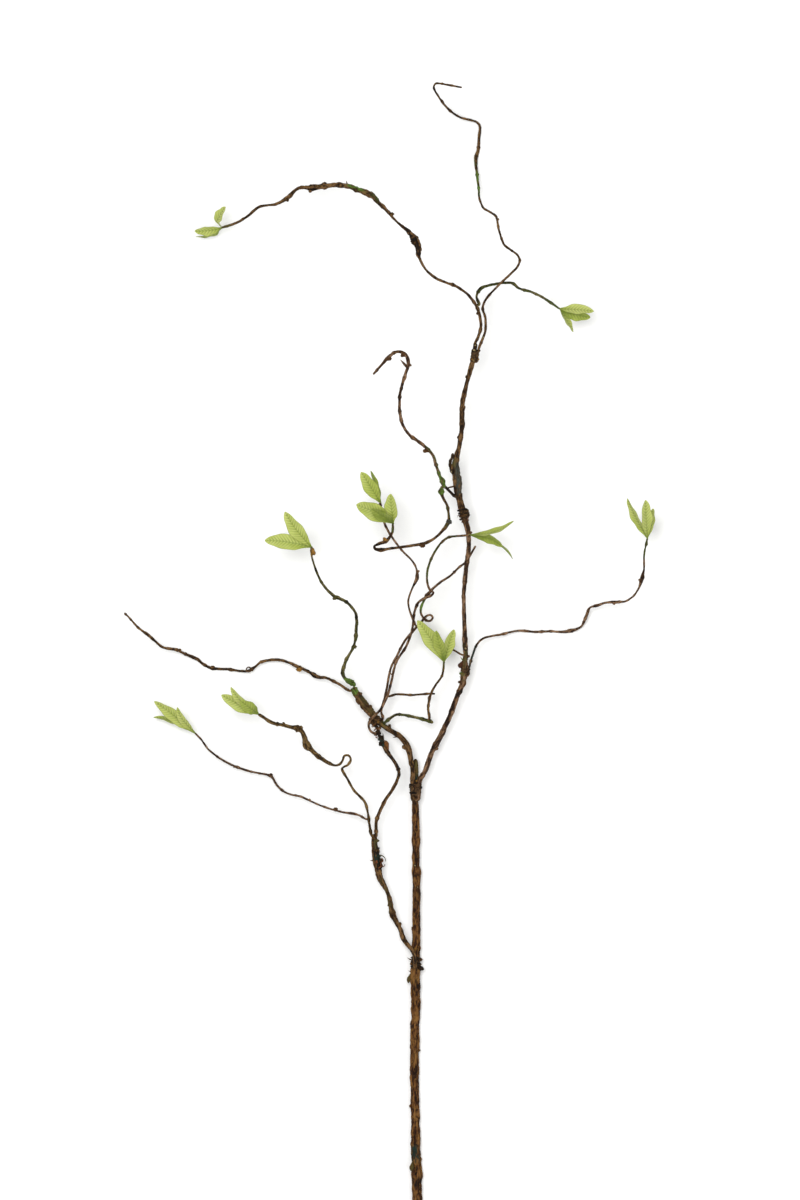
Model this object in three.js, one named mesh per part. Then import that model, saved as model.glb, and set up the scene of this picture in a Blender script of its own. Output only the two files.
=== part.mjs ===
// An artificial willow twig: a wire-cored spray of moulded bark stems that are lashed
// together at knots, with small sprigs of pale willow leaves at the tips.
//
// It lies on a table. X runs across the spray, Y from the cut end to the top, Z up.
// Points in the tables below are millimetres from the middle of the cut end, at table
// height; the finished spray is then moved so that its origin is the bottom centre of
// its box.
import * as THREE from 'three';

// Driving dimensions, in millimetres.
const STEM_RADIUS = 3.6;
const BOUGH_RADIUS = 2.0;
const BRANCH_RADIUS = 1.6;
const TWIG_RADIUS = 1.2;
const FINE_TWIG_RADIUS = 0.9;
const LEAF_THICKNESS = 0.8;
const BINDING_WIRE_RADIUS = 0.5;

// How finely the round shapes are divided.
const STEM_SIDES = 8;
const TWIG_SIDES = 6;
const BINDING_SIDES = 5;
const BINDING_STEPS_PER_TURN = 10;
const RING_SPACING_IN_DIAMETERS = 3.5;

// Colours of bark, paint and leaf.
const STEM_BROWN = 0x593a1e;
const BARK_BROWN = 0x5a4428;
const PALE_BROWN = 0x6f5a41;
const OCHRE = 0x7d6534;
const MOSS_GREEN = 0x5c6238;
const BINDING_BROWN = 0x3f2d19;
const LEAF_GREEN = 0xb9c36b;

// Each twig is a route of points [x, y, z, swell] from its root to its tip. The swell
// multiplies the twig's radius, so a knob, a bud or a taper is a change of swell.

// The stem, the boughs that rise from its fork, and the leader above them.
const STEM_AND_BOUGHS = {
  main_stem: {
    colour: STEM_BROWN,
    radius: STEM_RADIUS,
    route: [
      [0.5, 0, 3.6, 1], [0, 23, 3.8, 1.05], [-1, 45.5, 3.7, 1], [-1.5, 85.5, 3.8, 0.95],
      [-2, 125.5, 3.9, 0.95], [-1, 165.5, 4.6, 0.95], [-1.5, 178.5, 5, 1.05],
      [-1, 193, 5.4, 0.9], [-0.5, 229.5, 6, 0.85], [-0.5, 269.5, 6.8, 0.85],
      [-1, 309.5, 7.4, 0.8], [-1.5, 333.5, 7.8, 0.65], [-1, 348, 8, 0.6], [-1, 358, 8.2, 0.55],
    ],
  },
  low_branch: {
    colour: BARK_BROWN,
    radius: BRANCH_RADIUS,
    route: [
      [-1.5, 191, 10.6, 0.95], [-2, 200, 10.9, 1], [-5.5, 207, 10.7, 1], [-10, 213, 10.4, 1.3],
      [-13.5, 221.5, 10.5, 1.05], [-20, 234.5, 11, 1.4], [-22, 246.5, 11.5, 1],
      [-25.5, 255.5, 12, 1], [-29.5, 264, 12.4, 1.5], [-32, 276, 12.8, 1.5],
      [-33.5, 287, 13.2, 1.4], [-34.2, 295.6, 13.4, 1.25],
    ],
  },
  left_bough: {
    colour: BARK_BROWN,
    radius: BOUGH_RADIUS,
    route: [
      [-3.5, 326, 11.4, 0.8], [-3.5, 333.5, 11.6, 0.85], [-3.5, 348.5, 12, 1], [-5, 358.5, 12.3, 1],
      [-7, 366.5, 12.5, 1.1], [-11, 373.5, 12.8, 1.1], [-17, 378.5, 13.2, 1.05],
      [-23.5, 382.5, 13.6, 1.05], [-29.5, 387, 14, 1.2], [-37.5, 396, 15, 1.35],
      [-46.5, 408, 16, 1.45], [-51.5, 415.5, 16.5, 1.4],
    ],
  },
  right_bough: {
    colour: PALE_BROWN,
    radius: BOUGH_RADIUS,
    route: [
      [1, 326, 11.4, 0.8], [1.5, 333.5, 11.6, 0.85], [2.5, 341, 12, 0.9], [7, 349.5, 12.5, 1],
      [12, 364, 13.3, 1],
      [17, 373, 13.8, 1.15], [25, 389.5, 14.8, 1], [31, 405.5, 15.8, 1],
      [36, 418.5, 16.8, 1.05], [38, 429, 17.5, 1.15], [38, 434.5, 18, 1.2],
      [39, 441.5, 18.5, 0.9], [38.5, 448.5, 19, 1], [38, 469.5, 20.3, 0.85],
      [37.5, 490, 21.5, 0.8], [40, 516, 23, 0.9], [41.5, 529, 23.7, 0.85],
      [40.5, 542.5, 24.3, 0.95], [38.5, 549.5, 24.6, 1.2], [37.5, 555.5, 24.9, 1.2],
    ],
  },
  upper_leader: {
    colour: BARK_BROWN,
    radius: BOUGH_RADIUS,
    route: [
      [37, 556.3, 25, 1.2], [34.5, 564, 25.4, 1.3], [32.5, 572.5, 25.8, 1.35],
      [31.5, 582.5, 26.3, 1.4], [30.5, 592.5, 26.8, 1.25], [34, 610, 27.6, 1.05],
      [36, 625.5, 28.4, 1], [36, 640, 29, 0.95], [39.5, 657.5, 29.8, 0.85],
      [44, 674.5, 30.5, 0.95], [46.5, 689, 30.8, 0.9],
    ],
  },
};

// Twigs that rise from the head of the low branch.
const LOW_TWIGS = {
  low_riser_twig: {
    colour: BARK_BROWN,
    radius: TWIG_RADIUS,
    route: [
      [-33, 296.5, 13.8, 1.1], [-32.5, 308, 15, 1.1], [-29.5, 317, 17, 1.1],
      [-25, 326, 18, 1.1], [-19.5, 334, 18.5, 1.1], [-16, 341, 18.5, 1.1],
      [-14.5, 347, 18, 1.1], [-16.5, 353.5, 17.5, 1.1], [-20.5, 359.5, 17, 1.15],
      [-24.5, 365, 16.4, 1.4], [-28, 371.5, 15.6, 1.1], [-30.5, 377.5, 14.8, 1],
      [-31.4, 382.3, 14.3, 1], [-34.3, 386.4, 14.3, 1], [-38.3, 391, 15, 0.9],
    ],
  },
  low_leaf_twig: {
    colour: PALE_BROWN,
    radius: FINE_TWIG_RADIUS,
    route: [
      [-40.8, 310, 14.1, 0.9], [-46.5, 313, 13, 0.9], [-52, 314.5, 12.6, 1.35],
      [-57, 315, 12.2, 0.9], [-71, 318.5, 11.2, 0.9], [-82.5, 323, 10.2, 0.9],
      [-93.5, 328, 9.2, 1], [-101, 329.5, 8.6, 0.9], [-107, 332, 8, 0.9], [-112, 336.5, 7.6, 1],
      [-117, 344, 7.2, 1.1], [-126.5, 346.5, 7.3, 0.9], [-135.5, 348.5, 7.6, 1],
      [-148, 353, 8.4, 1], [-156.5, 357.5, 9, 0.9], [-167.5, 366, 10.4, 0.9],
      [-172.5, 373, 11.2, 0.9], [-178, 379, 12, 0.9],
    ],
  },
  curl_leaf_twig: {
    colour: OCHRE,
    radius: TWIG_RADIUS,
    route: [
      [-36, 296.5, 13.6, 0.9], [-38, 305, 14.5, 0.85], [-39, 313, 15.7, 0.85],
      [-42, 324, 17.5, 0.85], [-50, 332.5, 19.5, 0.85], [-55.5, 342, 21, 0.85],
      [-60, 350.5, 22, 0.85], [-58.5, 352, 22.3, 0.75], [-55.5, 353.5, 22.8, 0.75],
      [-53, 357.5, 23.6, 0.75], [-54.5, 361, 24.4, 0.75], [-58, 361, 25.2, 0.75],
      [-59.5, 357.5, 25.8, 0.75], [-62, 354, 26.4, 0.75], [-66, 353.5, 27, 0.85],
      [-71, 355.5, 27.5, 1.25], [-78.5, 360.5, 28.5, 1.4], [-84, 365.5, 29.3, 1.6],
      [-88.5, 370.5, 30, 2.4], [-90, 376, 30.8, 1.6], [-92, 380.5, 31.3, 1.6],
      [-95.5, 383, 31.8, 1.85], [-100.5, 384, 32.3, 1.35], [-108.5, 386, 33.3, 1.15],
      [-115.5, 387.5, 34, 1.15], [-122, 391.5, 34.8, 1.1], [-126.8, 394.6, 35.4, 0.9],
    ],
  },
};

// Twigs at the end of the left bough.
const LEFT_TWIGS = {
  left_long_twig: {
    colour: BARK_BROWN,
    radius: FINE_TWIG_RADIUS,
    route: [
      [-53.5, 412.7, 13.5, 1.2], [-61.5, 417.5, 12, 1.2], [-72.5, 423, 10.5, 1.2],
      [-79.5, 424, 9.8, 1.65], [-87.5, 428.5, 9, 1.2], [-95.5, 432, 8, 1.55],
      [-102, 435, 7.4, 1.2], [-110, 437.5, 6.6, 1.2], [-118, 437.5, 6, 1.2],
      [-124.5, 436, 5.4, 1.1], [-131.5, 431, 4.6, 1.1], [-136.5, 428.5, 4, 1.1],
      [-151.5, 430, 2, 1.1], [-165.5, 431, 1.2, 1.35], [-171.5, 434, 1.6, 1.1],
      [-176.5, 438, 3, 1.45], [-187.5, 443, 6.5, 1.1], [-192.5, 445.5, 8.5, 1.45],
      [-203.5, 447.5, 12, 1.1], [-214, 456.5, 17, 1.35], [-222, 462.5, 20, 1],
      [-234, 475.5, 25.5, 0.65],
    ],
  },
  left_leaf_twig: {
    colour: MOSS_GREEN,
    radius: TWIG_RADIUS,
    route: [
      [-50, 418, 17.5, 0.9], [-54.5, 420.5, 18.5, 1.85], [-57.5, 422.5, 19, 1.15],
      [-59.5, 427, 20, 1.25], [-57, 437, 23, 0.9], [-50.5, 449, 27, 0.9],
      [-48.5, 462.5, 31, 1.1], [-49, 475, 34.5, 0.9], [-57, 484.5, 37, 1],
      [-66.5, 489, 39, 1.1], [-76, 499.5, 42, 0.85], [-82, 513.5, 44.5, 0.6],
      [-84, 521, 45, 0.6], [-83.5, 525, 45, 1.6], [-84.5, 528, 45, 0.65],
    ],
  },
};

// Wire-thin twigs that wind up the middle from the left knot.
const INNER_TWIGS = {
  inner_cross_twig: {
    colour: PALE_BROWN,
    radius: FINE_TWIG_RADIUS,
    route: [
      [-33, 378.6, 17, 1.1], [-36.8, 380.3, 18.4, 1.1], [-38.6, 384, 19.4, 1.1],
      [-38, 388.5, 20, 1.1],
      [-30, 397, 19.5, 1.1], [-24, 408, 19.8, 1.1], [-20, 422.5, 20.4, 1.1],
      [-16.5, 436.5, 22, 1.1], [-9.5, 447, 25, 1.1], [-4, 461, 28, 1.1], [-2, 476, 31, 1.1],
      [1, 483.5, 33, 1.1], [6, 487, 35, 1.1], [11, 489, 36.5, 1], [13, 491.5, 37.2, 1],
      [10.5, 493.5, 38, 1], [8.5, 498, 39, 1], [8, 507, 41, 1], [12, 520, 43, 1],
      [20, 532, 42.5, 1], [25, 535.5, 42, 1], [37, 537, 40, 1], [42.5, 537.5, 40, 1],
    ],
  },
  inner_loop_twig: {
    colour: PALE_BROWN,
    radius: FINE_TWIG_RADIUS,
    route: [
      [-27.3, 390.8, 17.2, 1.1], [-28.6, 396, 16.8, 1.1], [-26, 406.5, 17, 1.1],
      [-23.5, 418.5, 18, 1.1], [-21, 431, 19.5, 1.1], [-16, 441, 21, 1.1],
      [-10, 452.5, 22, 1.1], [-3, 461, 22.8, 1.1], [3.5, 468, 24, 1.1], [8, 473, 26, 1],
      [11, 473.5, 27, 1], [12.5, 471.5, 28, 1], [10.5, 469, 29.3, 1], [7, 469.5, 30.5, 1],
      [3.5, 474, 31.3, 1], [3, 478.5, 31.6, 1], [6, 486, 31.5, 1.1], [8, 489, 31.5, 1.65],
      [12.5, 494.5, 32, 1.1], [19, 500, 31, 1.1], [26, 504.5, 28, 1], [34, 512, 21.5, 1],
      [39, 516, 18.4, 1], [45, 525.5, 18.3, 0.9], [47, 529, 19, 0.65],
    ],
  },
  inner_leaf_twig: {
    colour: PALE_BROWN,
    radius: FINE_TWIG_RADIUS,
    route: [
      [-1.1, 465.3, 26.4, 0.9], [-5, 474.5, 27.5, 0.9], [-7, 485, 30, 0.9],
      [-3.5, 495.5, 32.5, 0.9], [0, 503.5, 35, 1.8], [-0.5, 510.5, 37, 0.9],
      [-4, 517, 38.5, 0.9], [-11, 524, 40, 0.9], [-21.5, 538, 43, 1], [-26, 547, 44.4, 1],
      [-29, 557.5, 45.3, 0.9], [-29.5, 561, 45.5, 1.8], [-29, 563, 45.5, 0.8],
    ],
  },
  inner_short_twig: {
    colour: BARK_BROWN,
    radius: FINE_TWIG_RADIUS,
    route: [
      [-22.5, 408.5, 17.6, 1], [-17, 410, 16.5, 1], [-4.5, 409.5, 15.5, 1],
      [9.5, 410.5, 14.5, 0.9], [14.5, 410.5, 14, 0.65],
    ],
  },
  inner_green_twig: {
    colour: MOSS_GREEN,
    radius: TWIG_RADIUS,
    route: [
      [-25.2, 387.8, 14.3, 0.9], [-17, 393.5, 14.5, 0.9], [-5.5, 392.5, 15, 0.9],
      [7, 389.5, 15.5, 1], [10.5, 388.5, 15.6, 1.4], [13, 387, 15.6, 0.65],
    ],
  },
  inner_leaf_stalk: {
    colour: BARK_BROWN,
    radius: FINE_TWIG_RADIUS,
    route: [
      [10, 391, 17.6, 1.1], [9, 398.5, 18.8, 1.1], [11, 410, 20.6, 1.1], [15, 417.5, 22.3, 1],
      [20, 425, 24.5, 1], [21.6, 436.6, 28, 0.9],
    ],
  },
};

// Twigs on the right bough.
const RIGHT_TWIGS = {
  right_stub_twig: {
    colour: BARK_BROWN,
    radius: FINE_TWIG_RADIUS,
    route: [
      [36, 441.8, 18.9, 0.9], [28.5, 446, 20, 0.9], [25, 448, 20.3, 0.65],
    ],
  },
  right_leaf_twig: {
    colour: PALE_BROWN,
    radius: FINE_TWIG_RADIUS,
    route: [
      [40.7, 425, 16.6, 0.9], [41.5, 430, 16.6, 1], [43, 436, 15.8, 1], [47, 448, 13.5, 1],
      [50, 452.5, 12, 1], [53.5, 455, 10.6, 1],
      [67.5, 458, 6.8, 1], [82, 461, 3.2, 1], [94.5, 460, 1.4, 1], [107, 460.5, 0.9, 1],
      [114.5, 460, 1.2, 1], [121.5, 460.5, 2, 1.55], [131.5, 464, 4, 1], [134, 468, 5.2, 1.1],
      [136, 473, 6.8, 1.55], [139, 479.5, 9, 1], [144, 481, 10.6, 1.45], [151.5, 483.5, 13, 1],
      [160, 484, 15.4, 1.35], [166.5, 484.5, 17.2, 0.8], [173, 488.5, 19.6, 0.65],
      [178, 496, 22.4, 1], [179.5, 501, 24, 1.8], [181.5, 511, 27, 0.9],
      [181.5, 521.5, 29.4, 0.9], [184.1, 535, 31.8, 0.9],
    ],
  },
};

// Twigs that leave the leader half way up, through a short link.
const MIDDLE_TWIGS = {
  mid_link_twig: {
    colour: BARK_BROWN,
    radius: TWIG_RADIUS,
    route: [
      [31.2, 568, 29, 0.9], [26.5, 572, 31.6, 0.9], [22.4, 576.3, 34.2, 0.9],
    ],
  },
  mid_hook_twig: {
    colour: PALE_BROWN,
    radius: TWIG_RADIUS,
    route: [
      [21.2, 577.2, 35.7, 1.15], [20.5, 580.5, 36.6, 1.75], [18.5, 584, 38, 1.1],
      [15, 593.5, 40.5, 1], [13, 600.5, 42.5, 1], [5, 609, 45.5, 1.1], [-6, 617, 49, 1],
      [-11, 624, 51.3, 1], [-13.5, 633.5, 54, 1], [-13.5, 649.5, 58, 1], [-9.5, 664.5, 61, 1],
      [-7, 673, 61.8, 1.15], [-8.5, 679.5, 62, 1.1], [-12, 682.5, 61.5, 1.15],
      [-17.5, 682.5, 60.5, 1], [-22.5, 679, 59.2, 1.25], [-30, 670.5, 56.5, 0.85],
      [-35, 665, 55, 0.6],
    ],
  },
  mid_leaf_twig: {
    colour: BARK_BROWN,
    radius: TWIG_RADIUS,
    route: [
      [20, 575.5, 33.2, 1], [19.5, 573, 33.2, 1.65], [20, 569, 33.2, 1.1], [24, 561, 34.5, 0.9],
      [25.5, 552, 36.3, 0.9], [25, 547.5, 37.3, 1.35], [18.5, 539, 39.2, 0.9],
      [13.5, 534.5, 40.5, 0.9], [6.5, 531, 42.5, 1.15], [-3.5, 529, 44.5, 0.9],
      [-22.5, 526.5, 48, 0.9], [-29.5, 525.5, 49, 1.25], [-33.5, 526.5, 49.6, 1],
      [-34, 528.5, 50, 0.9], [-31, 530, 50.3, 0.9], [-25, 532.5, 50.8, 1.35],
      [-21.5, 536, 51.2, 0.9], [-19.5, 540.5, 51.6, 0.85], [-19.2, 547, 52.5, 0.75],
    ],
  },
};

// Twigs bound to the head of the leader.
const TOP_TWIGS = {
  top_arch_twig: {
    colour: BARK_BROWN,
    radius: TWIG_RADIUS,
    route: [
      [46.3, 690, 31, 0.9], [48.8, 696, 31.5, 1], [51, 703.5, 32.5, 1], [50.5, 710.5, 33.3, 1],
      [47, 721, 34.8, 0.9], [40.5, 729.5, 36.5, 0.9], [30, 736.5, 39.5, 0.9],
      [16.5, 741.5, 42.5, 0.9], [6, 750, 45, 0.9], [1.5, 759.5, 46.5, 1.1], [0.5, 766.5, 47, 2],
      [-2, 773, 47, 2.4], [-5.5, 778, 46.6, 1.25], [-16, 787, 45, 0.9], [-25.5, 797.5, 43, 1],
      [-30.5, 802, 42, 1.4], [-35.5, 808, 41, 1.85], [-46, 812.5, 39, 1.65],
      [-57, 816.5, 37, 1.6], [-72, 816.5, 33.5, 1.6], [-84.5, 815, 30.5, 1.75],
      [-94.5, 815, 28, 1.1], [-103.5, 807.5, 26, 1.4], [-112.5, 802.5, 24, 0.9],
      [-126, 800.5, 21, 0.9], [-135, 793.5, 19.2, 0.9], [-144, 788, 18.2, 0.85],
      [-156.4, 783.8, 18.1, 0.65],
    ],
  },
  top_leaf_twig: {
    colour: MOSS_GREEN,
    radius: TWIG_RADIUS,
    route: [
      [49.5, 721.5, 35.8, 0.85], [47.5, 728, 36.4, 0.85], [51, 734.5, 35.8, 1.15],
      [58, 737, 35.5, 0.85], [72, 739, 34.7, 0.85], [76.5, 738.5, 34.5, 0.9],
      [81.5, 734.5, 34.1, 0.85], [90.5, 732, 33.5, 0.85], [102.5, 726, 32.5, 0.85],
      [114, 718.3, 31.5, 0.65],
    ],
  },
  top_hook_twig: {
    colour: BARK_BROWN,
    radius: FINE_TWIG_RADIUS,
    route: [
      [47.6, 676, 31.2, 0.9], [48.3, 681, 31.2, 1], [49.5, 687, 31.3, 1.1],
      [51.9, 693, 31.7, 1.1], [54.5, 700, 32.2, 1.1], [54.5, 711, 33, 1.1],
      [52.5, 719, 34, 1.1], [54.5, 725, 35, 1.1], [68.5, 740, 39, 1], [80, 751.5, 40, 1],
      [82, 756.5, 39.5, 1], [79.5, 761.5, 38.5, 1], [70, 769, 35, 1], [65, 784, 27, 1],
      [63, 793, 23, 1], [53.5, 799.5, 18, 1], [50, 808, 14, 1], [49.5, 816, 10, 1],
      [48, 829.5, 4.8, 1.2], [47.5, 840.5, 1.9, 1.65], [49, 847, 1.2, 1.35],
      [50, 859, 1.5, 1.35], [50.5, 866, 2.6, 1.1], [48, 869.5, 3.6, 1], [36, 872.5, 8, 1],
      [26, 878.5, 12, 1], [17, 889.5, 17, 0.9], [13.5, 896, 20, 0.9], [15, 899, 21, 0.9],
      [23.5, 898, 23.5, 0.8], [36, 895.5, 26, 0.55],
    ],
  },
};
// Each leaf runs from its base to its tip. Roll turns the blade about its own length: at
// 0 it lies flat and at 90 it stands on edge. Bow lifts the middle of the blade and sweep
// pushes it to the right, seen from above and from the base.
const LEAVES = {
  leaf_a1: { base: [-161.5, 784.5, 21.5], tip: [-153, 800, 29], width: 10, roll: 40, bow: 1 },
  leaf_a2: { base: [-157.5, 783.5, 18], tip: [-178, 781.5, 16], width: 9, roll: 40, bow: 1.5 },
  leaf_a3: { base: [-157.5, 781, 13.5], tip: [-177.5, 776.5, 9], width: 9, roll: 80, bow: 0.5 },
  leaf_b1: { base: [115.5, 717.5, 33], tip: [141, 715.5, 37], width: 10, roll: 35, bow: 1.5 },
  leaf_b2: { base: [115, 717, 30], tip: [138.5, 712, 24], width: 10, roll: -35, bow: 1 },
  leaf_b3: { base: [114, 716.5, 28.6], tip: [124.5, 700, 22], width: 9, roll: 55, bow: 1 },
  leaf_c1: { base: [-30, 564.5, 46.6], tip: [-44.5, 587.5, 52], width: 11.5, roll: 20, bow: 2, sweep: 0.8 },
  leaf_c2: { base: [-29, 564.5, 44.2], tip: [-36.5, 589, 40], width: 6.5, roll: -60, bow: 1, sweep: -0.8 },
  leaf_d1: { base: [-20.5, 548.5, 52.6], tip: [-48.5, 561.5, 54], width: 14, roll: 10, bow: 2, sweep: 1.2 },
  leaf_d2: { base: [-18.5, 549, 54.7], tip: [-21, 570, 60], width: 11, roll: 25, bow: 1.5 },
  leaf_d3: { base: [-20, 549, 55.6], tip: [-36, 558, 66], width: 10, roll: 35, bow: 1 },
  leaf_e1: { base: [44, 538, 41.4], tip: [77.5, 548, 48], width: 8.5, roll: 58, bow: 1.5, sweep: 4.5 },
  leaf_e2: { base: [44.5, 536.5, 39], tip: [68, 527.5, 36], width: 8.5, roll: -40, bow: 1.5, sweep: -4 },
  leaf_e3: { base: [43.5, 535.5, 34.8], tip: [77.5, 519, 26], width: 9, roll: 78, bow: 0.5, sweep: -4 },
  leaf_f1: { base: [-85.5, 530, 46.6], tip: [-105, 556, 54], width: 12, roll: 15, bow: 2, sweep: -1 },
  leaf_f2: { base: [-86.5, 528, 44], tip: [-121.5, 533, 42], width: 12.5, roll: -8, bow: 2, sweep: 1.2 },
  leaf_g1: { base: [183.5, 536.5, 31.4], tip: [167.5, 566.5, 34], width: 10.5, roll: 55, bow: 1.5, sweep: 0.8 },
  leaf_g2: { base: [183.5, 536.5, 33.8], tip: [181.5, 565.5, 44], width: 11, roll: -40, bow: 1.5, sweep: -0.8 },
  leaf_g3: { base: [185, 536, 29.8], tip: [188.5, 559, 24], width: 9.5, roll: 40, bow: 1, sweep: 0.8 },
  leaf_h1: { base: [21, 438.5, 28.4], tip: [0, 469, 30.5], width: 12.5, roll: 12, bow: 1, sweep: 1.2 },
  leaf_h2: { base: [22, 438.5, 30.4], tip: [15, 461, 38], width: 10, roll: 30, bow: 1 },
  leaf_h3: { base: [22.5, 438, 27.6], tip: [29.5, 462, 26], width: 10, roll: -30, bow: 1, sweep: -1.2 },
  leaf_i1: { base: [-179.5, 380.5, 13], tip: [-210, 405, 17], width: 11, roll: 25, bow: 2, sweep: 1.2 },
  leaf_i2: { base: [-180.5, 379, 10.4], tip: [-211.5, 392, 7.5], width: 8.5, roll: -60, bow: 0.5, sweep: 1.8 },
  leaf_i3: { base: [-179, 381.5, 15], tip: [-192, 399.5, 23], width: 7.5, roll: 35, bow: 1, sweep: -1.5 },
  leaf_j1: { base: [-128, 395.5, 35], tip: [-156, 410, 36], width: 11, roll: 15, bow: 1.5 },
  leaf_j2: { base: [-127.5, 396.5, 37], tip: [-148, 416.5, 44], width: 8, roll: 35, bow: 1.5, sweep: -2 },
  leaf_j3: { base: [-127.5, 395.5, 39], tip: [-141, 406, 49], width: 10, roll: 10, bow: 1 },
};

// Half-width of a leaf at stations along its length, as a part of its half width.
const LEAF_OUTLINE = [[0, 0.1], [0.1, 0.3], [0.28, 0.85], [0.5, 1], [0.72, 0.8], [0.9, 0.4], [1, 0.06]];
// How far the leaf's edges rise above its midrib, as a part of the half-width there.
const LEAF_FOLD = 0.25;

// Each binding is a coil of wire round the twigs that it lashes: the two ends of its
// axis, and how far the wire's centre stands from the axis across and in height.
const BINDINGS = {
  stem_tie: {
    start: [-1, 188.5, 7.2], end: [-1, 200, 7.4], across: 5, height: 6.4, turns: 4,
  },
  fork_wrap: {
    start: [-1, 328, 9.4], end: [-1, 339, 9.6], across: 6.4, height: 6.2, turns: 4,
  },
  left_knot_wrap: {
    start: [-30.6, 386, 14.2], end: [-35, 391.3, 14.8], across: 5.2, height: 3.8, turns: 3,
  },
  right_knot_wrap: {
    start: [38.2, 424, 17], end: [39.5, 431.5, 17.6], across: 4.9, height: 3.8, turns: 3,
  },
  leader_knot_wrap: {
    start: [38.7, 550, 24.7], end: [36.5, 559.5, 25.1], across: 3.8, height: 3.7, turns: 4,
  },
  top_wrap: {
    start: [45.7, 675, 30.6], end: [47.7, 686, 30.9], across: 4.6, height: 3.3, turns: 4,
  },
};

// One closed mesh through a list of rings that all have the same number of points. Its
// ends are closed by a fan of triangles round the middle of the first and last ring.
function closedLoft(rings) {
  const sides = rings[0].length;
  const positions = rings.flat().flatMap((point) => point.toArray());
  const ringMiddle = (ring) => ring
    .reduce((sum, point) => sum.add(point), new THREE.Vector3())
    .divideScalar(sides);
  positions.push(...ringMiddle(rings[0]).toArray());
  positions.push(...ringMiddle(rings[rings.length - 1]).toArray());
  const firstMiddle = rings.length * sides;
  const lastMiddle = firstMiddle + 1;
  const lastRing = (rings.length - 1) * sides;

  const triangles = [];
  for (let side = 0; side < sides; side += 1) {
    const next = (side + 1) % sides;
    triangles.push(firstMiddle, next, side);
    triangles.push(lastMiddle, lastRing + side, lastRing + next);
    for (let ring = 0; ring < rings.length - 1; ring += 1) {
      const here = ring * sides;
      const there = here + sides;
      triangles.push(here + side, here + next, there + next);
      triangles.push(here + side, there + next, there + side);
    }
  }
  const geometry = new THREE.BufferGeometry();
  geometry.setAttribute('position', new THREE.Float32BufferAttribute(positions, 3));
  geometry.setIndex(triangles);
  geometry.computeVertexNormals();
  return geometry;
}

// The rings of a round tube through the given centres. The rings don't twist: each one
// starts at the direction that was up on the ring before it.
function tubeRings(centres, radii, sides) {
  const up = new THREE.Vector3(0, 0, 1);
  const last = centres.length - 1;
  return centres.map((centre, index) => {
    const before = centres[Math.max(index - 1, 0)];
    const after = centres[Math.min(index + 1, last)];
    const along = after.clone().sub(before).normalize();
    up.addScaledVector(along, -up.dot(along)).normalize();
    const side = along.clone().cross(up);
    return Array.from({ length: sides }, (_, step) => {
      const angle = (step / sides) * 2 * Math.PI;
      return centre.clone()
        .addScaledVector(up, radii[index] * Math.cos(angle))
        .addScaledVector(side, radii[index] * Math.sin(angle));
    });
  });
}

function twigGeometry({ radius, route }) {
  const points = route.map(([x, y, z]) => new THREE.Vector3(x, y, z));
  const curve = new THREE.CatmullRomCurve3(points, false, 'centripetal');
  const centres = [];
  const radii = [];
  const spans = points.length - 1;
  for (let span = 0; span < spans; span += 1) {
    const startRadius = radius * route[span][3];
    const endRadius = radius * route[span + 1][3];
    const spacing = (startRadius + endRadius) * RING_SPACING_IN_DIAMETERS;
    const steps = Math.max(1, Math.round(points[span].distanceTo(points[span + 1]) / spacing));
    for (let step = 0; step < steps; step += 1) {
      centres.push(curve.getPoint((span + step / steps) / spans));
      radii.push(THREE.MathUtils.lerp(startRadius, endRadius, step / steps));
    }
  }
  centres.push(points[spans]);
  radii.push(radius * route[spans][3]);
  const sides = radius > TWIG_RADIUS ? STEM_SIDES : TWIG_SIDES;
  return closedLoft(tubeRings(centres, radii, sides));
}

// A leaf is a blade with a thick midrib and thin edges, folded up a little along the rib.
function leafGeometry({ base, tip, width, roll, bow, sweep = 0 }) {
  const start = new THREE.Vector3(...base);
  const along = new THREE.Vector3(...tip).sub(start);
  const across = along.clone().cross(new THREE.Vector3(0, 0, 1)).normalize();
  const upward = across.clone().cross(along).normalize();
  const turn = THREE.MathUtils.degToRad(roll);
  const side = across.clone().multiplyScalar(Math.cos(turn)).addScaledVector(upward, Math.sin(turn));
  const face = upward.clone().multiplyScalar(Math.cos(turn)).addScaledVector(across, -Math.sin(turn));

  const rings = LEAF_OUTLINE.map(([station, share]) => {
    const bend = 4 * station * (1 - station);
    const middle = start.clone()
      .addScaledVector(along, station)
      .addScaledVector(face, bow * bend)
      .addScaledVector(across, sweep * bend);
    const half = share * width / 2;
    const point = (sideways, height) => middle.clone()
      .addScaledVector(side, sideways)
      .addScaledVector(face, height);
    return [
      point(0, LEAF_THICKNESS / 2),
      point(half, half * LEAF_FOLD),
      point(0, -LEAF_THICKNESS / 2),
      point(-half, half * LEAF_FOLD),
    ];
  });
  return closedLoft(rings);
}

function bindingGeometry({ start, end, across, height, turns }) {
  const from = new THREE.Vector3(...start);
  const axis = new THREE.Vector3(...end).sub(from);
  const side = axis.clone().cross(new THREE.Vector3(0, 0, 1)).normalize();
  const upward = side.clone().cross(axis).normalize();
  const steps = turns * BINDING_STEPS_PER_TURN;
  const centres = Array.from({ length: steps + 1 }, (_, step) => {
    const angle = (step / BINDING_STEPS_PER_TURN) * 2 * Math.PI;
    return from.clone()
      .addScaledVector(axis, step / steps)
      .addScaledVector(side, across * Math.cos(angle))
      .addScaledVector(upward, height * Math.sin(angle));
  });
  const radii = centres.map(() => BINDING_WIRE_RADIUS);
  return closedLoft(tubeRings(centres, radii, BINDING_SIDES));
}

const spray = new THREE.Group();

function addMesh(name, geometry, colour, roughness) {
  const material = new THREE.MeshStandardMaterial({ color: colour, roughness, metalness: 0 });
  const mesh = new THREE.Mesh(geometry, material);
  mesh.name = name;
  spray.add(mesh);
}

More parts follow.
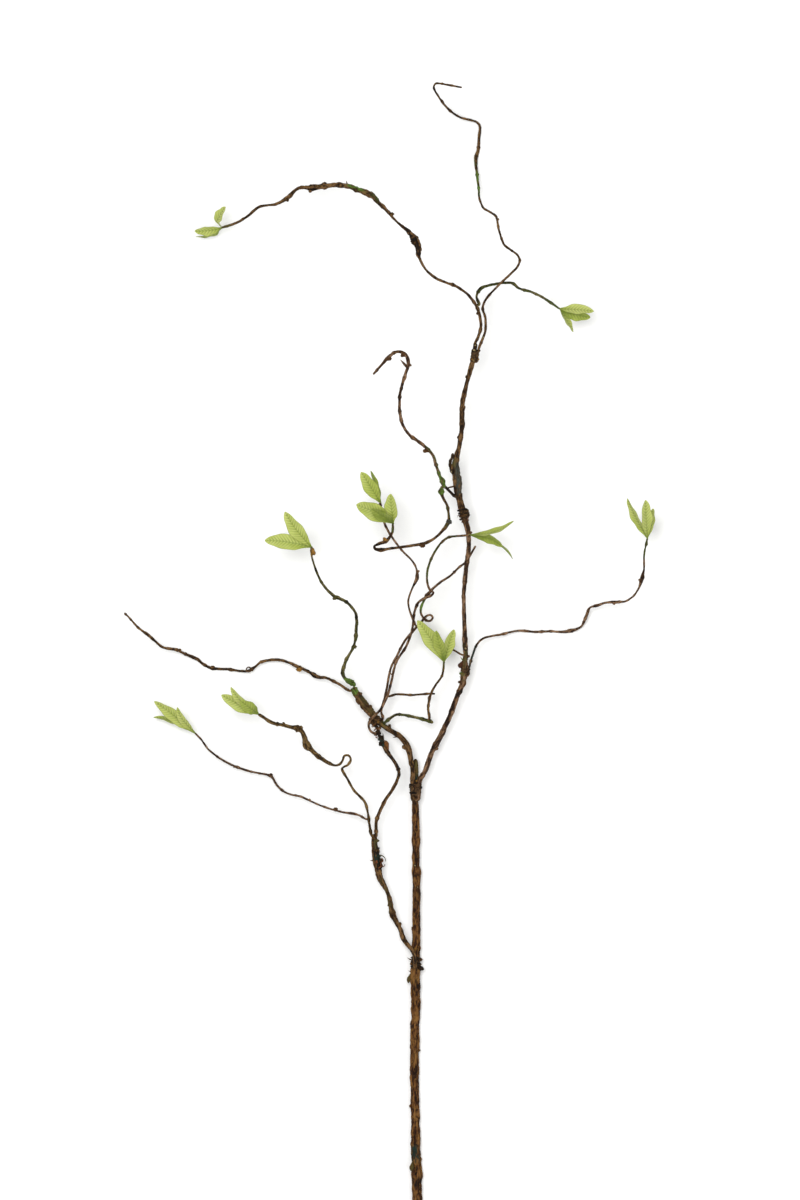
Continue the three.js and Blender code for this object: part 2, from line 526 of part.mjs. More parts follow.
const TWIG_GROUPS = [
  STEM_AND_BOUGHS, LOW_TWIGS, LEFT_TWIGS, INNER_TWIGS, RIGHT_TWIGS, MIDDLE_TWIGS, TOP_TWIGS,
];
for (const twigs of TWIG_GROUPS) {
  for (const [name, twig] of Object.entries(twigs)) {
    addMesh(name, twigGeometry(twig), twig.colour, 0.85);
  }
}
for (const [name, binding] of Object.entries(BINDINGS)) {
  addMesh(name, bindingGeometry(binding), BINDING_BROWN, 0.9);
}
for (const [name, leaf] of Object.entries(LEAVES)) {
  addMesh(name, leafGeometry(leaf), LEAF_GREEN, 0.6);
}

// The origin is the bottom centre of the spray's box.
const box = new THREE.Box3().setFromObject(spray);
const centre = box.getCenter(new THREE.Vector3());
spray.position.set(-centre.x, -centre.y, -box.min.z);

export default spray;
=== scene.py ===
"""The looks of an artificial willow twig that lies on a pale table.

Every twig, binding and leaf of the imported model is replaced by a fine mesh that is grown
from the model's own solid: bark with ridges, seams, buds and paint for the twigs, wound
tape and cord for the bindings, and thin veined blades for the leaves. Lengths in this
script are in millimetres until a mesh is made.
"""

import math

import bmesh
import bpy
import numpy as np
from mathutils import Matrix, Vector


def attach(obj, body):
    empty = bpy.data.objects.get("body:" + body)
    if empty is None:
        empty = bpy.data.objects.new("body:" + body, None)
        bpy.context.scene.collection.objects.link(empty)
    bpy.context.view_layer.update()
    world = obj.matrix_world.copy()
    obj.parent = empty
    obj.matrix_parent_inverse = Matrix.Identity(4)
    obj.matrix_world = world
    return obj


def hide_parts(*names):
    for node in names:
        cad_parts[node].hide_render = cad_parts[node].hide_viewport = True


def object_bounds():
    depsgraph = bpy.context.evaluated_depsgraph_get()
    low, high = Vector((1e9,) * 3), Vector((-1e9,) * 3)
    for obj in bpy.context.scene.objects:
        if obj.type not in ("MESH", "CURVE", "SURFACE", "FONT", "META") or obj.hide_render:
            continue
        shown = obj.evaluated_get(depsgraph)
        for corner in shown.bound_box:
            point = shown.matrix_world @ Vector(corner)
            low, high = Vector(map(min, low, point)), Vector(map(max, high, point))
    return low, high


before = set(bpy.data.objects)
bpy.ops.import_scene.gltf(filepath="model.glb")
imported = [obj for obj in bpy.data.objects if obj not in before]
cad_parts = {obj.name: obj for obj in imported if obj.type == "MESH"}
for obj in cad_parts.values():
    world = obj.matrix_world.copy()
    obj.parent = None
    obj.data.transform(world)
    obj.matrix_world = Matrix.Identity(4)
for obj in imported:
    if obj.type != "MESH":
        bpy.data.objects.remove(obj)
cad_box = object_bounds()

MM = 0.001
UP = np.array([0.0, 0.0, 1.0])
# No twig's bark is thinner than this radius, in millimetres.
THINNEST = 0.78
# How far a root is drawn on towards the middle of the twig that it grows from.
ROOT_DEPTH = 0.62
# Nothing reaches lower than this above the table, in millimetres.
LOWEST = 0.03

# The twigs: what each one grows from, the finish of its bark, and how deep the bark's
# ridges are. A twig's root is its end nearest to what it grows from.
TWIGS = {
    "main_stem": (None, "stem_bark", 0.8),
    "low_branch": ("main_stem", "dark_bark", 0.9),
    "left_bough": ("main_stem", "dark_bark", 0.9),
    "right_bough": ("main_stem", "pale_bark", 0.8),
    "upper_leader": ("right_bough", "dark_bark", 0.9),
    "low_riser_twig": ("low_branch", "dark_bark", 0.8),
    "low_leaf_twig": ("curl_leaf_twig", "pale_bark", 0.7),
    "curl_leaf_twig": ("low_branch", "ochre_bark", 0.8),
    "left_long_twig": ("left_bough", "dark_bark", 0.9),
    "left_leaf_twig": ("left_bough", "moss_bark", 0.9),
    "inner_cross_twig": ("left_bough", "pale_bark", 0.5),
    "inner_loop_twig": ("left_bough", "pale_bark", 0.5),
    "inner_leaf_twig": ("inner_loop_twig", "pale_bark", 0.5),
    "inner_short_twig": ("inner_loop_twig", "dark_bark", 0.5),
    "inner_green_twig": ("left_bough", "moss_bark", 0.7),
    "inner_leaf_stalk": ("inner_green_twig", "dark_bark", 0.7),
    "right_stub_twig": ("right_bough", "dark_bark", 0.7),
    "right_leaf_twig": ("right_bough", "pale_bark", 0.8),
    "mid_link_twig": ("upper_leader", "dark_bark", 0.7),
    "mid_hook_twig": ("mid_link_twig", "pale_bark", 0.8),
    "mid_leaf_twig": ("mid_link_twig", "dark_bark", 0.8),
    "top_arch_twig": ("upper_leader", "dark_bark", 1.0),
    "top_leaf_twig": ("top_arch_twig", "moss_bark", 0.9),
    "top_hook_twig": ("upper_leader", "dark_bark", 0.8),
}

# How far some twigs are drawn out past their tips, under a binding, in millimetres.
DRAWN_OUT = {"low_branch": 2.5, "upper_leader": 2}

# Colours of paint, buds and lumps, as red, green and blue from 0 to 255.
COLOURS = {
    "grass": (90, 116, 46),
    "moss": (70, 78, 34),
    "olive": (84, 76, 40),
    "teal": (26, 48, 42),
    "slate": (70, 72, 64),
    "black": (24, 17, 11),
    "brown": (86, 58, 32),
    "cream": (156, 140, 100),
    "rust": (118, 68, 40),
    "ochre": (160, 116, 52),
    "maroon": (66, 32, 18),
    "chestnut": (122, 76, 38),
}

# Each table below lists, for each twig, what its bark carries. Places along a twig are
# shares of its length, 0 at the root. Angles go round it: 0 is up and 90 is the
# right-hand side seen from the root.

# Paint rubbed into the bark: where it starts and ends, the angle where it is thickest
# (None is all round), how strong it is, and its colour.
PAINT = {
    "main_stem": [
        (0.102, 0.132, -35, 1.0, "teal"), (0.042, 0.06, 20, 1.0, "black"),
        (0.48, 0.512, 60, 0.8, "black"), (0.69, 0.7, 60, 0.7, "black"),
        (0.955, 1.0, None, 0.65, "olive"), (0.948, 0.962, 30, 1.0, "teal"),
    ],
    "low_branch": [
        (0.76, 0.88, 40, 1.0, "black"), (0.8, 0.86, 20, 0.8, "teal"),
        (0.9, 0.96, 70, 0.8, "olive"), (0.45, 0.7, -30, 0.4, "olive"),
    ],
    "left_bough": [
        (0.62, 0.7, 60, 0.5, "moss"), (0.72, 1.0, 40, 0.45, "olive"),
        (0.95, 1.0, None, 0.8, "grass"),
    ],
    "right_bough": [
        (0.385, 0.42, 40, 0.9, "black"), (0.455, 0.47, -60, 0.9, "grass"),
        (0.44, 0.56, 0, 0.5, "olive"),
    ],
    "upper_leader": [
        (0.1, 0.3, 70, 0.8, "slate"), (0.27, 0.32, -70, 0.8, "olive"),
        (0.9, 1.0, None, 0.5, "black"),
    ],
    "low_riser_twig": [
        (0.5, 0.72, None, 0.6, "black"), (0.76, 0.84, -10, 1.0, "teal"),
        (0.84, 1.0, None, 0.7, "black"),
    ],
    "left_leaf_twig": [
        (0.0, 0.085, None, 1.0, "grass"), (0.085, 0.45, 90, 0.6, "moss"),
        (0.52, 0.85, -90, 0.6, "moss"), (0.945, 0.99, None, 0.6, "ochre"),
    ],
    "inner_loop_twig": [(0.62, 0.68, None, 0.9, "grass")],
    "inner_cross_twig": [(0.72, 0.95, None, 0.8, "moss")],
    "inner_green_twig": [(0.0, 0.12, None, 0.7, "moss"), (0.35, 1.0, None, 0.45, "moss")],
    "inner_leaf_stalk": [(0.85, 1.0, None, 0.8, "moss")],
    "right_leaf_twig": [(0.03, 0.12, None, 0.7, "teal"), (0.93, 1.0, None, 0.7, "moss")],
    "mid_link_twig": [(0.0, 1.0, None, 0.6, "black")],
    "mid_hook_twig": [(0.0, 0.09, None, 1.0, "grass"), (0.09, 0.24, 80, 0.8, "moss")],
    "mid_leaf_twig": [
        (0.0, 0.06, None, 1.0, "grass"), (0.14, 0.3, 40, 0.5, "moss"),
        (0.94, 1.0, None, 0.7, "moss"),
    ],
    "top_arch_twig": [
        (0.34, 0.41, None, 1.7, "black"), (0.565, 0.62, 70, 1.0, "grass"),
        (0.525, 0.55, 60, 0.8, "moss"), (0.97, 1.0, None, 0.8, "olive"),
    ],
    "top_leaf_twig": [(0.15, 0.7, 60, 0.8, "moss"), (0.84, 1.0, None, 1.0, "moss")],
    "top_hook_twig": [(0.555, 0.62, None, 0.6, "grass"), (0.64, 0.665, -70, 0.8, "grass")],
}

# The twigs that each binding holds, the turns and thickness of its tape, how far it
# bulges, the turns and radius of the cord over it, and its lumps and frayed hairs.
BINDINGS = {
    "stem_tie": {
        "holds": ["main_stem"], "tape": (3, 0.25), "bulge": 0.0,
        "cord": (2.4, 0.75), "lumps": 4, "hairs": 2,
    },
    "fork_wrap": {
        "holds": ["main_stem", "left_bough", "right_bough"], "tape": (3, 0.15),
        "bulge": 0.0, "cord": (1.3, 0.9), "lumps": 9, "hairs": 3,
    },
    "left_knot_wrap": {
        "holds": ["left_bough", "low_riser_twig"], "tape": (4, 0.3), "bulge": 0.05,
        "cord": (2.3, 0.6), "lumps": 12, "hairs": 6,
    },
    "right_knot_wrap": {
        "holds": ["right_bough", "right_leaf_twig"], "tape": (4, 0.2), "bulge": 0.0,
        "cord": (1.6, 0.5), "lumps": 7, "hairs": 5,
    },
    "leader_knot_wrap": {
        "holds": ["right_bough", "upper_leader"], "tape": (4, 0.5), "bulge": 0.3,
        "cord": (3.2, 0.8), "lumps": 10, "hairs": 4,
    },
    "top_wrap": {
        "holds": ["upper_leader", "top_hook_twig"], "tape": (5, 0.15), "bulge": 0.0,
        "cord": (2.2, 0.45), "lumps": 7, "hairs": 2,
    },
}

# Drop-shaped buds: share, angle, length, thickness, lean and colour. A lean of 1 points
# the bud at the twig's tip and -1 at its root.
BUDS = {
    "main_stem": [(0.1, -50, 8.5, 1.9, -1.0, "olive"), (0.521, -80, 9, 1.6, -1.0, "olive")],
    "left_bough": [(0.385, -90, 5, 1.5, 0.6, None), (0.79, 80, 4, 1.3, 0.8, None)],
    "right_bough": [(0.185, 80, 4, 1.2, 0.8, None), (0.503, -62, 6, 2.2, -0.8, "maroon")],
    "low_riser_twig": [(0.71, 75, 9, 1.9, 0.9, "chestnut")],
    "low_branch": [(0.33, 80, 4, 1.1, 0.8, None)],
    "mid_hook_twig": [(0.205, -85, 4.8, 1.7, 0.3, "brown")],
    "top_arch_twig": [(0.715, -80, 4, 1.4, 0.9, None), (0.36, -60, 4.4, 1.2, 0.9, "black")],
    "left_long_twig": [(0.72, 60, 3, 0.9, 0.8, None), (0.42, -60, 3, 0.9, 0.8, None)],
    "right_leaf_twig": [(0.69, 80, 3.2, 0.9, 0.8, None), (0.835, -80, 3, 1.0, 0.9, None)],
    "low_leaf_twig": [(0.3, 60, 2.6, 0.7, 0.8, None)],
    "curl_leaf_twig": [(0.86, 70, 3.2, 1.0, 0.8, None)],
    "inner_leaf_twig": [(0.42, 70, 2.8, 0.8, 0.8, None)],
    "top_hook_twig": [(0.45, 80, 2.6, 0.8, 0.8, None)],
}

# Rough lumps: share, angle, size, how far they stand off the bark, and colour.
LUMPS = {
    "main_stem": [
        (0.222, -80, 1.3, 0.0, None), (0.345, 80, 1.2, -0.3, None),
        (0.62, -75, 1.1, -0.3, None), (0.713, 15, 0.55, 0.1, "cream"),
        (0.816, 35, 0.55, 0.1, "cream"), (0.551, 80, 1.3, 0.4, "brown"),
        (0.531, 65, 2.3, 1.0, "black"), (0.54, -80, 1.2, 0.3, None),
        (0.958, -60, 1.7, 1.0, "brown"), (0.966, -20, 1.4, 0.6, "olive"),
        (0.951, 20, 0.9, 0.6, "ochre"), (0.94, -80, 1.3, 1.6, "black"),
        (0.93, -55, 1.3, 1.4, "brown"),
    ],
    "low_branch": [
        (0.955, 60, 1.5, -0.3, "olive"), (0.9, 75, 1.2, -0.2, "black"),
        (0.775, 65, 1.5, 0.0, "black"), (0.5, -70, 1.0, -0.2, None),
    ],
    "low_riser_twig": [
        (0.78, -50, 1.7, 0.3, "black"), (0.83, 40, 1.7, 0.5, "black"),
        (0.87, -40, 1.6, 0.5, None),
    ],
    "left_bough": [
        (0.6, 60, 1.7, -0.2, None), (0.885, -75, 1.8, -0.2, "brown"),
        (0.93, 60, 1.4, 0.0, None),
    ],
    "left_long_twig": [
        (0.227, -75, 2.0, 0.4, "ochre"), (0.992, 0, 1.3, -1.0, None),
        (0.58, 80, 1.2, 0.0, None),
    ],
    "left_leaf_twig": [
        (0.3, 80, 1.3, 0.0, "olive"), (0.66, -80, 1.3, 0.0, "olive"),
        (0.965, 75, 1.7, 0.1, "ochre"),
    ],
    "right_bough": [
        (0.43, -80, 1.1, 0.1, "brown"), (0.52, 70, 1.2, 0.0, None), (0.93, 70, 1.3, 0.0, None),
    ],
    "upper_leader": [
        (0.44, -70, 1.2, -0.1, None), (0.62, 75, 1.2, -0.2, None), (0.8, -70, 1.1, -0.1, None),
        (0.9, 25, 0.8, 0.2, "cream"), (0.955, -5, 0.8, 1.2, "cream"),
    ],
    "top_hook_twig": [(0.075, 0, 0.7, 0.3, "cream")],
    "mid_hook_twig": [
        (0.787, -60, 2.0, -0.2, "brown"), (0.883, -60, 2.1, -0.3, "brown"),
        (0.725, 70, 1.4, 0.0, None),
    ],
    "mid_leaf_twig": [
        (0.241, -60, 2.1, -1.2, "slate"), (0.472, -60, 1.9, 0.2, "brown"),
        (0.872, -60, 1.9, -0.2, "ochre"),
    ],
    "top_arch_twig": [
        (0.8, -60, 1.6, -0.1, None), (0.47, 60, 1.7, -0.1, None), (0.09, -70, 1.4, -0.1, None),
    ],
    "low_leaf_twig": [
        (0.17, 75, 1.5, 0.1, "brown"), (0.55, 60, 1.3, 0.0, None), (0.738, -60, 0.8, 0.0, None),
    ],
    "curl_leaf_twig": [(0.79, 60, 1.7, 0.0, None)],
}

# Round scars with a pale middle: share, angle and size.
SCARS = {
    "main_stem": [(0.762, -15, 1.7)],
    "right_bough": [(0.547, 5, 2.0), (0.483, 60, 1.5)],
    "upper_leader": [(0.245, -65, 2.0), (0.985, 0, 1.6)],
}

# Slivers of bark and wire: share, angle, length, thickness, lean and colour.
SPURS = {
    "main_stem": [(0.549, -88, 4.5, 0.55, 0.3, "brown"), (0.521, -88, 3, 0.35, 0.5, "black")],
    "low_branch": [(0.815, -85, 3.5, 0.6, 0.4, None)],
    "low_riser_twig": [(0.79, 85, 7, 0.75, 1.4, "black")],
    "upper_leader": [(0.156, -85, 8.5, 0.7, -0.1, "brown")],
    "inner_cross_twig": [(0.293, -80, 3, 0.5, 0.8, None)],
    "mid_hook_twig": [(0.711, -85, 7.5, 1.1, 0.7, None)],
    "right_bough": [(0.505, -60, 3.5, 0.5, 1.0, "grass")],
    "left_bough": [(0.52, -85, 3, 0.5, 0.6, None)],
    "top_arch_twig": [(0.62, 80, 2.6, 0.5, 0.8, None)],
}

# Strips that lie along a twig: start, end, angle, lift, thickness and colour.
STRIPS = {
    "upper_leader": [
        (0.235, 0.345, -84, 2.0, 1.4, "black"), (0.12, 0.28, 75, 0.0, 1.6, "slate"),
    ],
    "right_bough": [(0.4, 0.5, 60, 0.0, 1.1, "brown")],
    "left_bough": [(0.72, 0.93, -60, 0.0, 1.3, None)],
    "low_branch": [(0.6, 0.98, -65, 0.0, 1.1, None)],
    "top_arch_twig": [(0.33, 0.4, 50, 0.0, 1.2, None)],
}

# Frayed hairs: share, angle, how many, length, thickness, turns and colour.
HAIRS = {
    "low_branch": [(0.8, 85, 4, 15, 0.55, 1.3, "rust"), (0.85, 85, 1, 10, 0.5, -0.3, "olive")],
    "low_riser_twig": [
        (0.85, -85, 3, 10, 0.34, 0.8, "rust"), (0.92, -85, 3, 9, 0.34, 0.7, "rust"),
    ],
    "right_bough": [
        (0.453, -80, 3, 4, 0.26, 0.6, "rust"), (0.46, 80, 3, 4, 0.26, 0.6, "rust"),
        (0.985, 80, 3, 4, 0.3, 0.6, "rust"),
    ],
    "left_long_twig": [(0.43, 80, 1, 14, 0.6, 1.1, None)],
    "upper_leader": [(0.03, -80, 3, 4, 0.3, 0.6, "rust")],
}

# Clumps of moss or crumbled bark: share, angle, spread, crumbs and colour.
TUFTS = {
    "low_branch": [
        (0.825, 30, 2.9, 12, "teal"), (0.79, 60, 2.4, 8, "black"), (0.81, 80, 2.4, 6, "rust"),
    ],
    "low_riser_twig": [
        (0.8, 0, 2.3, 8, "teal"), (0.86, 0, 2.6, 9, "black"), (0.9, 20, 2.2, 7, "brown"),
    ],
    "left_leaf_twig": [(0.03, 0, 2.0, 5, "grass")],
    "right_bough": [(0.46, -70, 1.4, 5, "grass"), (0.975, 0, 2.4, 9, "brown")],
    "mid_hook_twig": [(0.02, 0, 1.6, 5, "grass")],
}

# Leaves of a deeper green than the others.
DARK_LEAVES = ["leaf_" + name for name in ("a3", "b2", "c2", "d3", "e2", "e3", "h2", "i2", "j3")]


# ---------------------------------------------------------------- reading the model

def rows_by_step(start):
    """The vertices of a mesh in rows: those one edge from start, two edges, and so on."""
    rows = [[start]]
    seen = {start}
    while rows[-1]:
        following = []
        for vertex in rows[-1]:
            for edge in vertex.link_edges:
                other = edge.other_vert(vertex)
                if other not in seen:
                    seen.add(other)
                    following.append(other)
        rows.append(following)
    return rows[:-1]


def solid_rings(node):
    """The rings of points that a lofted solid is made of, from one end to the other.

    The middle of an end cap is the only vertex from which every row but the first and
    last has as many vertices as the loft has sides.
    """
    mesh = bmesh.new()
    mesh.from_mesh(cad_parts[node].data)
    bmesh.ops.remove_doubles(mesh, verts=mesh.verts, dist=0.02 * MM)
    rings = None
    for vertex in mesh.verts:
        sides = len(vertex.link_edges)
        rows = rows_by_step(vertex)
        sizes = [len(row) for row in rows]
        if sizes[-1] == 1 and len(rows) > 3 and all(size == sides for size in sizes[1:-1]):
            rings = [np.array([v.co for v in row]) / MM for row in rows[1:-1]]
            break
    mesh.free()
    if rings is None:
        raise RuntimeError(node + " is not a plain loft")
    return rings


def smooth_rows(points, per_span):
    """A smooth curve through rows of numbers, whose first three columns are a place."""
    points = np.asarray(points, float)
    gaps = np.linalg.norm(np.diff(points[:, :3], axis=0), axis=1) ** 0.5
    gaps = np.maximum(gaps, 1e-3)
    spans = np.diff(points, axis=0) / gaps[:, None]
    slopes = np.empty_like(points)
    slopes[0] = spans[0]
    slopes[-1] = spans[-1]
    before = gaps[:-1, None]
    after = gaps[1:, None]
    slopes[1:-1] = (spans[:-1] * after + spans[1:] * before) / (before + after)
    t = np.linspace(0, 1, per_span, endpoint=False)[:, None]
    rows = []
    for i, gap in enumerate(gaps):
        rows.append(
            (2 * t**3 - 3 * t**2 + 1) * points[i]
            + (t**3 - 2 * t**2 + t) * slopes[i] * gap
            + (3 * t**2 - 2 * t**3) * points[i + 1]
            + (t**3 - t**2) * slopes[i + 1] * gap
        )
    return np.vstack(rows + [points[-1:]])


def frames_along(points):
    """Directions ahead, up and to the right at each point of a curve, turning smoothly.

    Up is drawn back towards the true up all along, however the curve sets out.
    """
    ahead = np.gradient(points, axis=0)
    ahead /= np.maximum(np.linalg.norm(ahead, axis=1)[:, None], 1e-9)
    up = np.empty_like(points)
    current = UP.copy()
    for i, direction in enumerate(ahead):
        current = current + 0.25 * UP
        current = current - direction * current.dot(direction)
        if np.linalg.norm(current) < 0.05:
            current = np.cross(direction, [1.0, 0.0, 0.0])
        current = current / np.linalg.norm(current)
        up[i] = current
    return ahead, up, np.cross(ahead, up)


class Path:
    """A curve with a radius along it, in evenly spaced points, each with its own frame."""

    def __init__(self, middles, radii, spacing, free_root=True):
        self.free_root = free_root
        rows = smooth_rows(np.column_stack([middles, radii]), 16)
        lengths = np.linalg.norm(np.diff(rows[:, :3], axis=0), axis=1)
        reach = np.concatenate([[0], np.cumsum(lengths)])
        self.length = reach[-1]
        count = max(4, int(round(self.length / spacing)) + 1)
        self.along = np.linspace(0, self.length, count)
        self.points = np.column_stack(
            [np.interp(self.along, reach, rows[:, axis]) for axis in range(3)]
        )
        self.radii = np.interp(self.along, reach, rows[:, 3])
        self.ahead, self.up, self.side = frames_along(self.points)

    def index(self, share):
        return int(np.clip(round(share * (len(self.points) - 1)), 0, len(self.points) - 1))

    def surface(self, share, angle, lift=0.0):
        """A point on the surface at an angle from up, the way out of it, and ahead."""
        i = self.index(share)
        turn = math.radians(angle)
        out = self.up[i] * math.cos(turn) + self.side[i] * math.sin(turn)
        return self.points[i] + out * (self.radii[i] + lift), out, self.ahead[i]


def nearest(points, place):
    return points[np.linalg.norm(points - place, axis=1).argmin()]


def read_twigs():
    """The path of each twig, from its root to its tip.

    A root is drawn on to just under the skin of the twig that it grows from.
    """
    rings = {node: solid_rings(node) for node in TWIGS}
    lines = {node: np.array([ring.mean(axis=0) for ring in rings[node]]) for node in TWIGS}
    paths = {}
    for node, (parent, _, _) in TWIGS.items():
        line = lines[node]
        reaches = [np.linalg.norm(ring - middle, axis=1) for ring, middle in zip(rings[node], line)]
        radii = np.array([reach.mean() for reach in reaches])
        if parent:
            curve = smooth_rows(lines[parent], 8)
            gaps = [np.linalg.norm(nearest(curve, end) - end) for end in (line[0], line[-1])]
            backwards = gaps[1] < gaps[0]
        else:
            backwards = line[0][1] > line[-1][1]
        if backwards:
            line, radii = line[::-1], radii[::-1]
        if parent:
            inside = nearest(curve, line[0])
            line = np.vstack([line[0] + ROOT_DEPTH * (inside - line[0]), line])
            radii = np.append(radii[:1], radii)
        if node in DRAWN_OUT:
            beyond = line[-1] - line[-2]
            beyond *= DRAWN_OUT[node] / np.linalg.norm(beyond)
            line = np.vstack([line, line[-1] + beyond])
            radii = np.append(radii, radii[-1])
        radii = np.maximum(radii, THINNEST)
        spacing = max(0.32, 0.16 * radii.mean() + 0.25)
        paths[node] = Path(line, radii, spacing, free_root=not parent)
    return paths


# ---------------------------------------------------------------- numbers and meshes

def noise(points, seed):
    """Smooth random values from 0 to 1 at an array of points; the same on every run."""
    cell = np.floor(points).astype(np.int64)
    part = points - cell
    part = part * part * (3 - 2 * part)
    total = np.zeros(len(points))
    for corner in range(8):
        offset = np.array([corner & 1, (corner >> 1) & 1, corner >> 2])
        place = (cell + offset + seed * 17).astype(np.uint32)
        mixed = place[:, 0] * np.uint32(374761393)
        mixed = mixed + place[:, 1] * np.uint32(668265263)
        mixed = mixed + place[:, 2] * np.uint32(2246822519)
        mixed = (mixed ^ (mixed >> np.uint32(13))) * np.uint32(1274126177)
        mixed = mixed ^ (mixed >> np.uint32(16))
        value = (mixed & np.uint32(65535)) / 65535.0
        weight = np.prod(np.where(offset == 1, part, 1 - part), axis=1)
        total += value * weight
    return total


def band(values, low, high, soft):
    """1 where values lie between low and high, fading to 0 over a soft margin."""
    rise = np.clip((values - low) / soft + 0.5, 0, 1)
    fall = np.clip((high - values) / soft + 0.5, 0, 1)
    return rise * fall


def linear(colour):
    """A colour given as red, green and blue from 0 to 255, as the shader wants it."""
    parts = np.asarray(colour, float) / 255
    return np.where(parts <= 0.04045, parts / 12.92, ((parts + 0.055) / 1.055) ** 2.4)


def coat(colour, amount=0.9):
    """Paint as the mesh holds it: the named colour and how much of it covers the bark."""
    if colour is None:
        return np.zeros(4)
    return np.append(linear(COLOURS[colour]), amount)


class Patch:
    """A growing mesh: its points and faces, and what its material is told at each point."""

    def __init__(self, *names):
        self.points = []
        self.faces = []
        self.grain = []
        self.paint = []
        self.values = {name: [] for name in names}
        self.count = 0

    def add(self, points, faces, grain=None, paint=(0, 0, 0, 0), **values):
        points = np.asarray(points, float)
        points[:, 2] = np.maximum(points[:, 2], LOWEST)
        self.points.append(points)
        self.faces.extend([tuple(int(i) + self.count for i in face) for face in faces])
        self.grain.append(points if grain is None else grain)
        self.paint.append(np.broadcast_to(np.asarray(paint, float), (len(points), 4)))
        for name, rows in self.values.items():
            value = np.asarray(values.get(name, 0.0), float)
            rows.append(np.broadcast_to(value, (len(points),)))
        self.count += len(points)

    def build(self, name, material, node):
        """Makes the piece that stands for a node of the model."""
        mesh = bpy.data.meshes.new(name)
        mesh.from_pydata((np.vstack(self.points) * MM).tolist(), [], self.faces)
        grain = mesh.attributes.new("grain", "FLOAT_VECTOR", "POINT")
        grain.data.foreach_set("vector", np.vstack(self.grain).astype(np.float32).ravel())
        paint = mesh.attributes.new("paint", "FLOAT_COLOR", "POINT")
        paint.data.foreach_set("color", np.vstack(self.paint).astype(np.float32).ravel())
        for key, rows in self.values.items():
            data = mesh.attributes.new(key, "FLOAT", "POINT")
            data.data.foreach_set("value", np.concatenate(rows).astype(np.float32))
        mesh.shade_smooth()
        mesh.materials.append(material)
        piece = bpy.data.objects.new(name, mesh)
        bpy.context.scene.collection.objects.link(piece)
        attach(piece, "root")
        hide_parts(node)
        return piece


def loft_faces(rings, sides):
    """Faces of a closed loft whose points run ring by ring and end with two cap middles."""
    here = np.arange(rings - 1)[:, None] * sides
    side = np.arange(sides)[None, :]
    after = (side + 1) % sides
    quads = np.stack(
        [here + side, here + after, here + sides + after, here + sides + side], axis=-1
    )
    faces = [tuple(face) for face in quads.reshape(-1, 4)]
    last = (rings - 1) * sides
    for i in range(sides):
        j = (i + 1) % sides
        faces.append((rings * sides, j, i))
        faces.append((rings * sides + 1, last + i, last + j))
    return faces


def capped(values, rings, sides):
    """Adds a row for each of the two cap middles: the mean of its ring."""
    grid = np.asarray(values, float).reshape(rings, sides, -1)
    ends = np.stack([grid[0].mean(axis=0), grid[-1].mean(axis=0)])
    joined = np.vstack([grid.reshape(rings * sides, -1), ends])
    return joined if joined.shape[1] > 1 else joined[:, 0]


def tube(patch, points, radii, sides, **values):
    """Adds a closed tube along points to a patch."""
    points = np.asarray(points, float)
    radii = np.broadcast_to(np.asarray(radii, float), (len(points),))[:, None, None]
    _, up, side = frames_along(points)
    angles = (np.arange(sides) / sides * 2 * math.pi)[None, :, None]
    ways = np.cos(angles) * up[:, None] + np.sin(angles) * side[:, None]
    rings = points[:, None] + radii * ways
    flat = capped(rings.reshape(-1, 3), len(points), sides)
    patch.add(flat, loft_faces(len(points), sides), **values)


# ---------------------------------------------------------------- bark

def bark_relief(places, radius, seed, depth):
    """How far the bark stands out, as a share of the radius, and how open its seams are; the
    material paints shade in the seams.
    """
    fine = 2.1 / radius**0.6
    ridges = noise(places * [fine, fine, 0.16 * fine], seed) - 0.5
    fibres = noise(places * [2.4 * fine, 2.4 * fine, 0.5 * fine], seed + 1) - 0.5
    lumps = noise(places * [0.32 * fine, 0.32 * fine, 0.16 * fine], seed + 2) - 0.5
    contour = noise(places * [0.75 * fine, 0.75 * fine, 0.13 * fine], seed + 3) - 0.5
    seams = np.exp(-((contour / 0.05) ** 2))
    cross = noise(places * [0.5 * fine, 0.5 * fine, 0.42 * fine], seed + 4) - 0.5
    cracks = np.exp(-((cross / 0.025) ** 2)) * (ridges > -0.1)
    relief = 0.3 * ridges + 0.16 * fibres + 0.46 * lumps - 0.14 * seams - 0.1 * cracks
    return depth * relief, np.clip(0.8 * seams + 0.7 * cracks, 0, 1)


def swelling(path, seed):
    """Small swollen rings at uneven steps along a twig, as shares of its radius."""
    random = np.random.default_rng(seed)
    swell = np.zeros(len(path.along))
    most = 0.14 + 0.36 * np.clip(2.2 - path.radii.mean(), 0, 1)
    place = 5.0
    while place < path.length - 3:
        width = random.uniform(0.8, 1.8) * path.radii.mean() ** 0.5
        swell += random.uniform(0.04, most) * np.exp(-(((path.along - place) / width) ** 2))
        place += random.uniform(6, 18)
    return swell


def rubbed_paint(node, share, angle, places, seed):
    """The paint that covers each point of a twig, laid on row by row of the table."""
    cover = np.zeros((len(share), 4))
    broken = noise(places * [0.9, 0.9, 0.4], seed + 7)
    for start, end, middle, strength, colour in PAINT.get(node, []):
        amount = band(share + 0.012 * (broken - 0.5), start, end, 0.014)
        if middle is not None:
            amount = amount * np.clip(0.25 + 0.9 * np.cos(np.radians(angle - middle)), 0, 1)
        amount = np.clip(amount * strength * (3.2 * broken - 0.6), 0, 1)[:, None]
        total = amount + cover[:, 3:] * (1 - amount)
        mixed = linear(COLOURS[colour]) * amount + cover[:, :3] * cover[:, 3:] * (1 - amount)
        cover = np.hstack([mixed / np.maximum(total, 1e-6), total])
    return cover


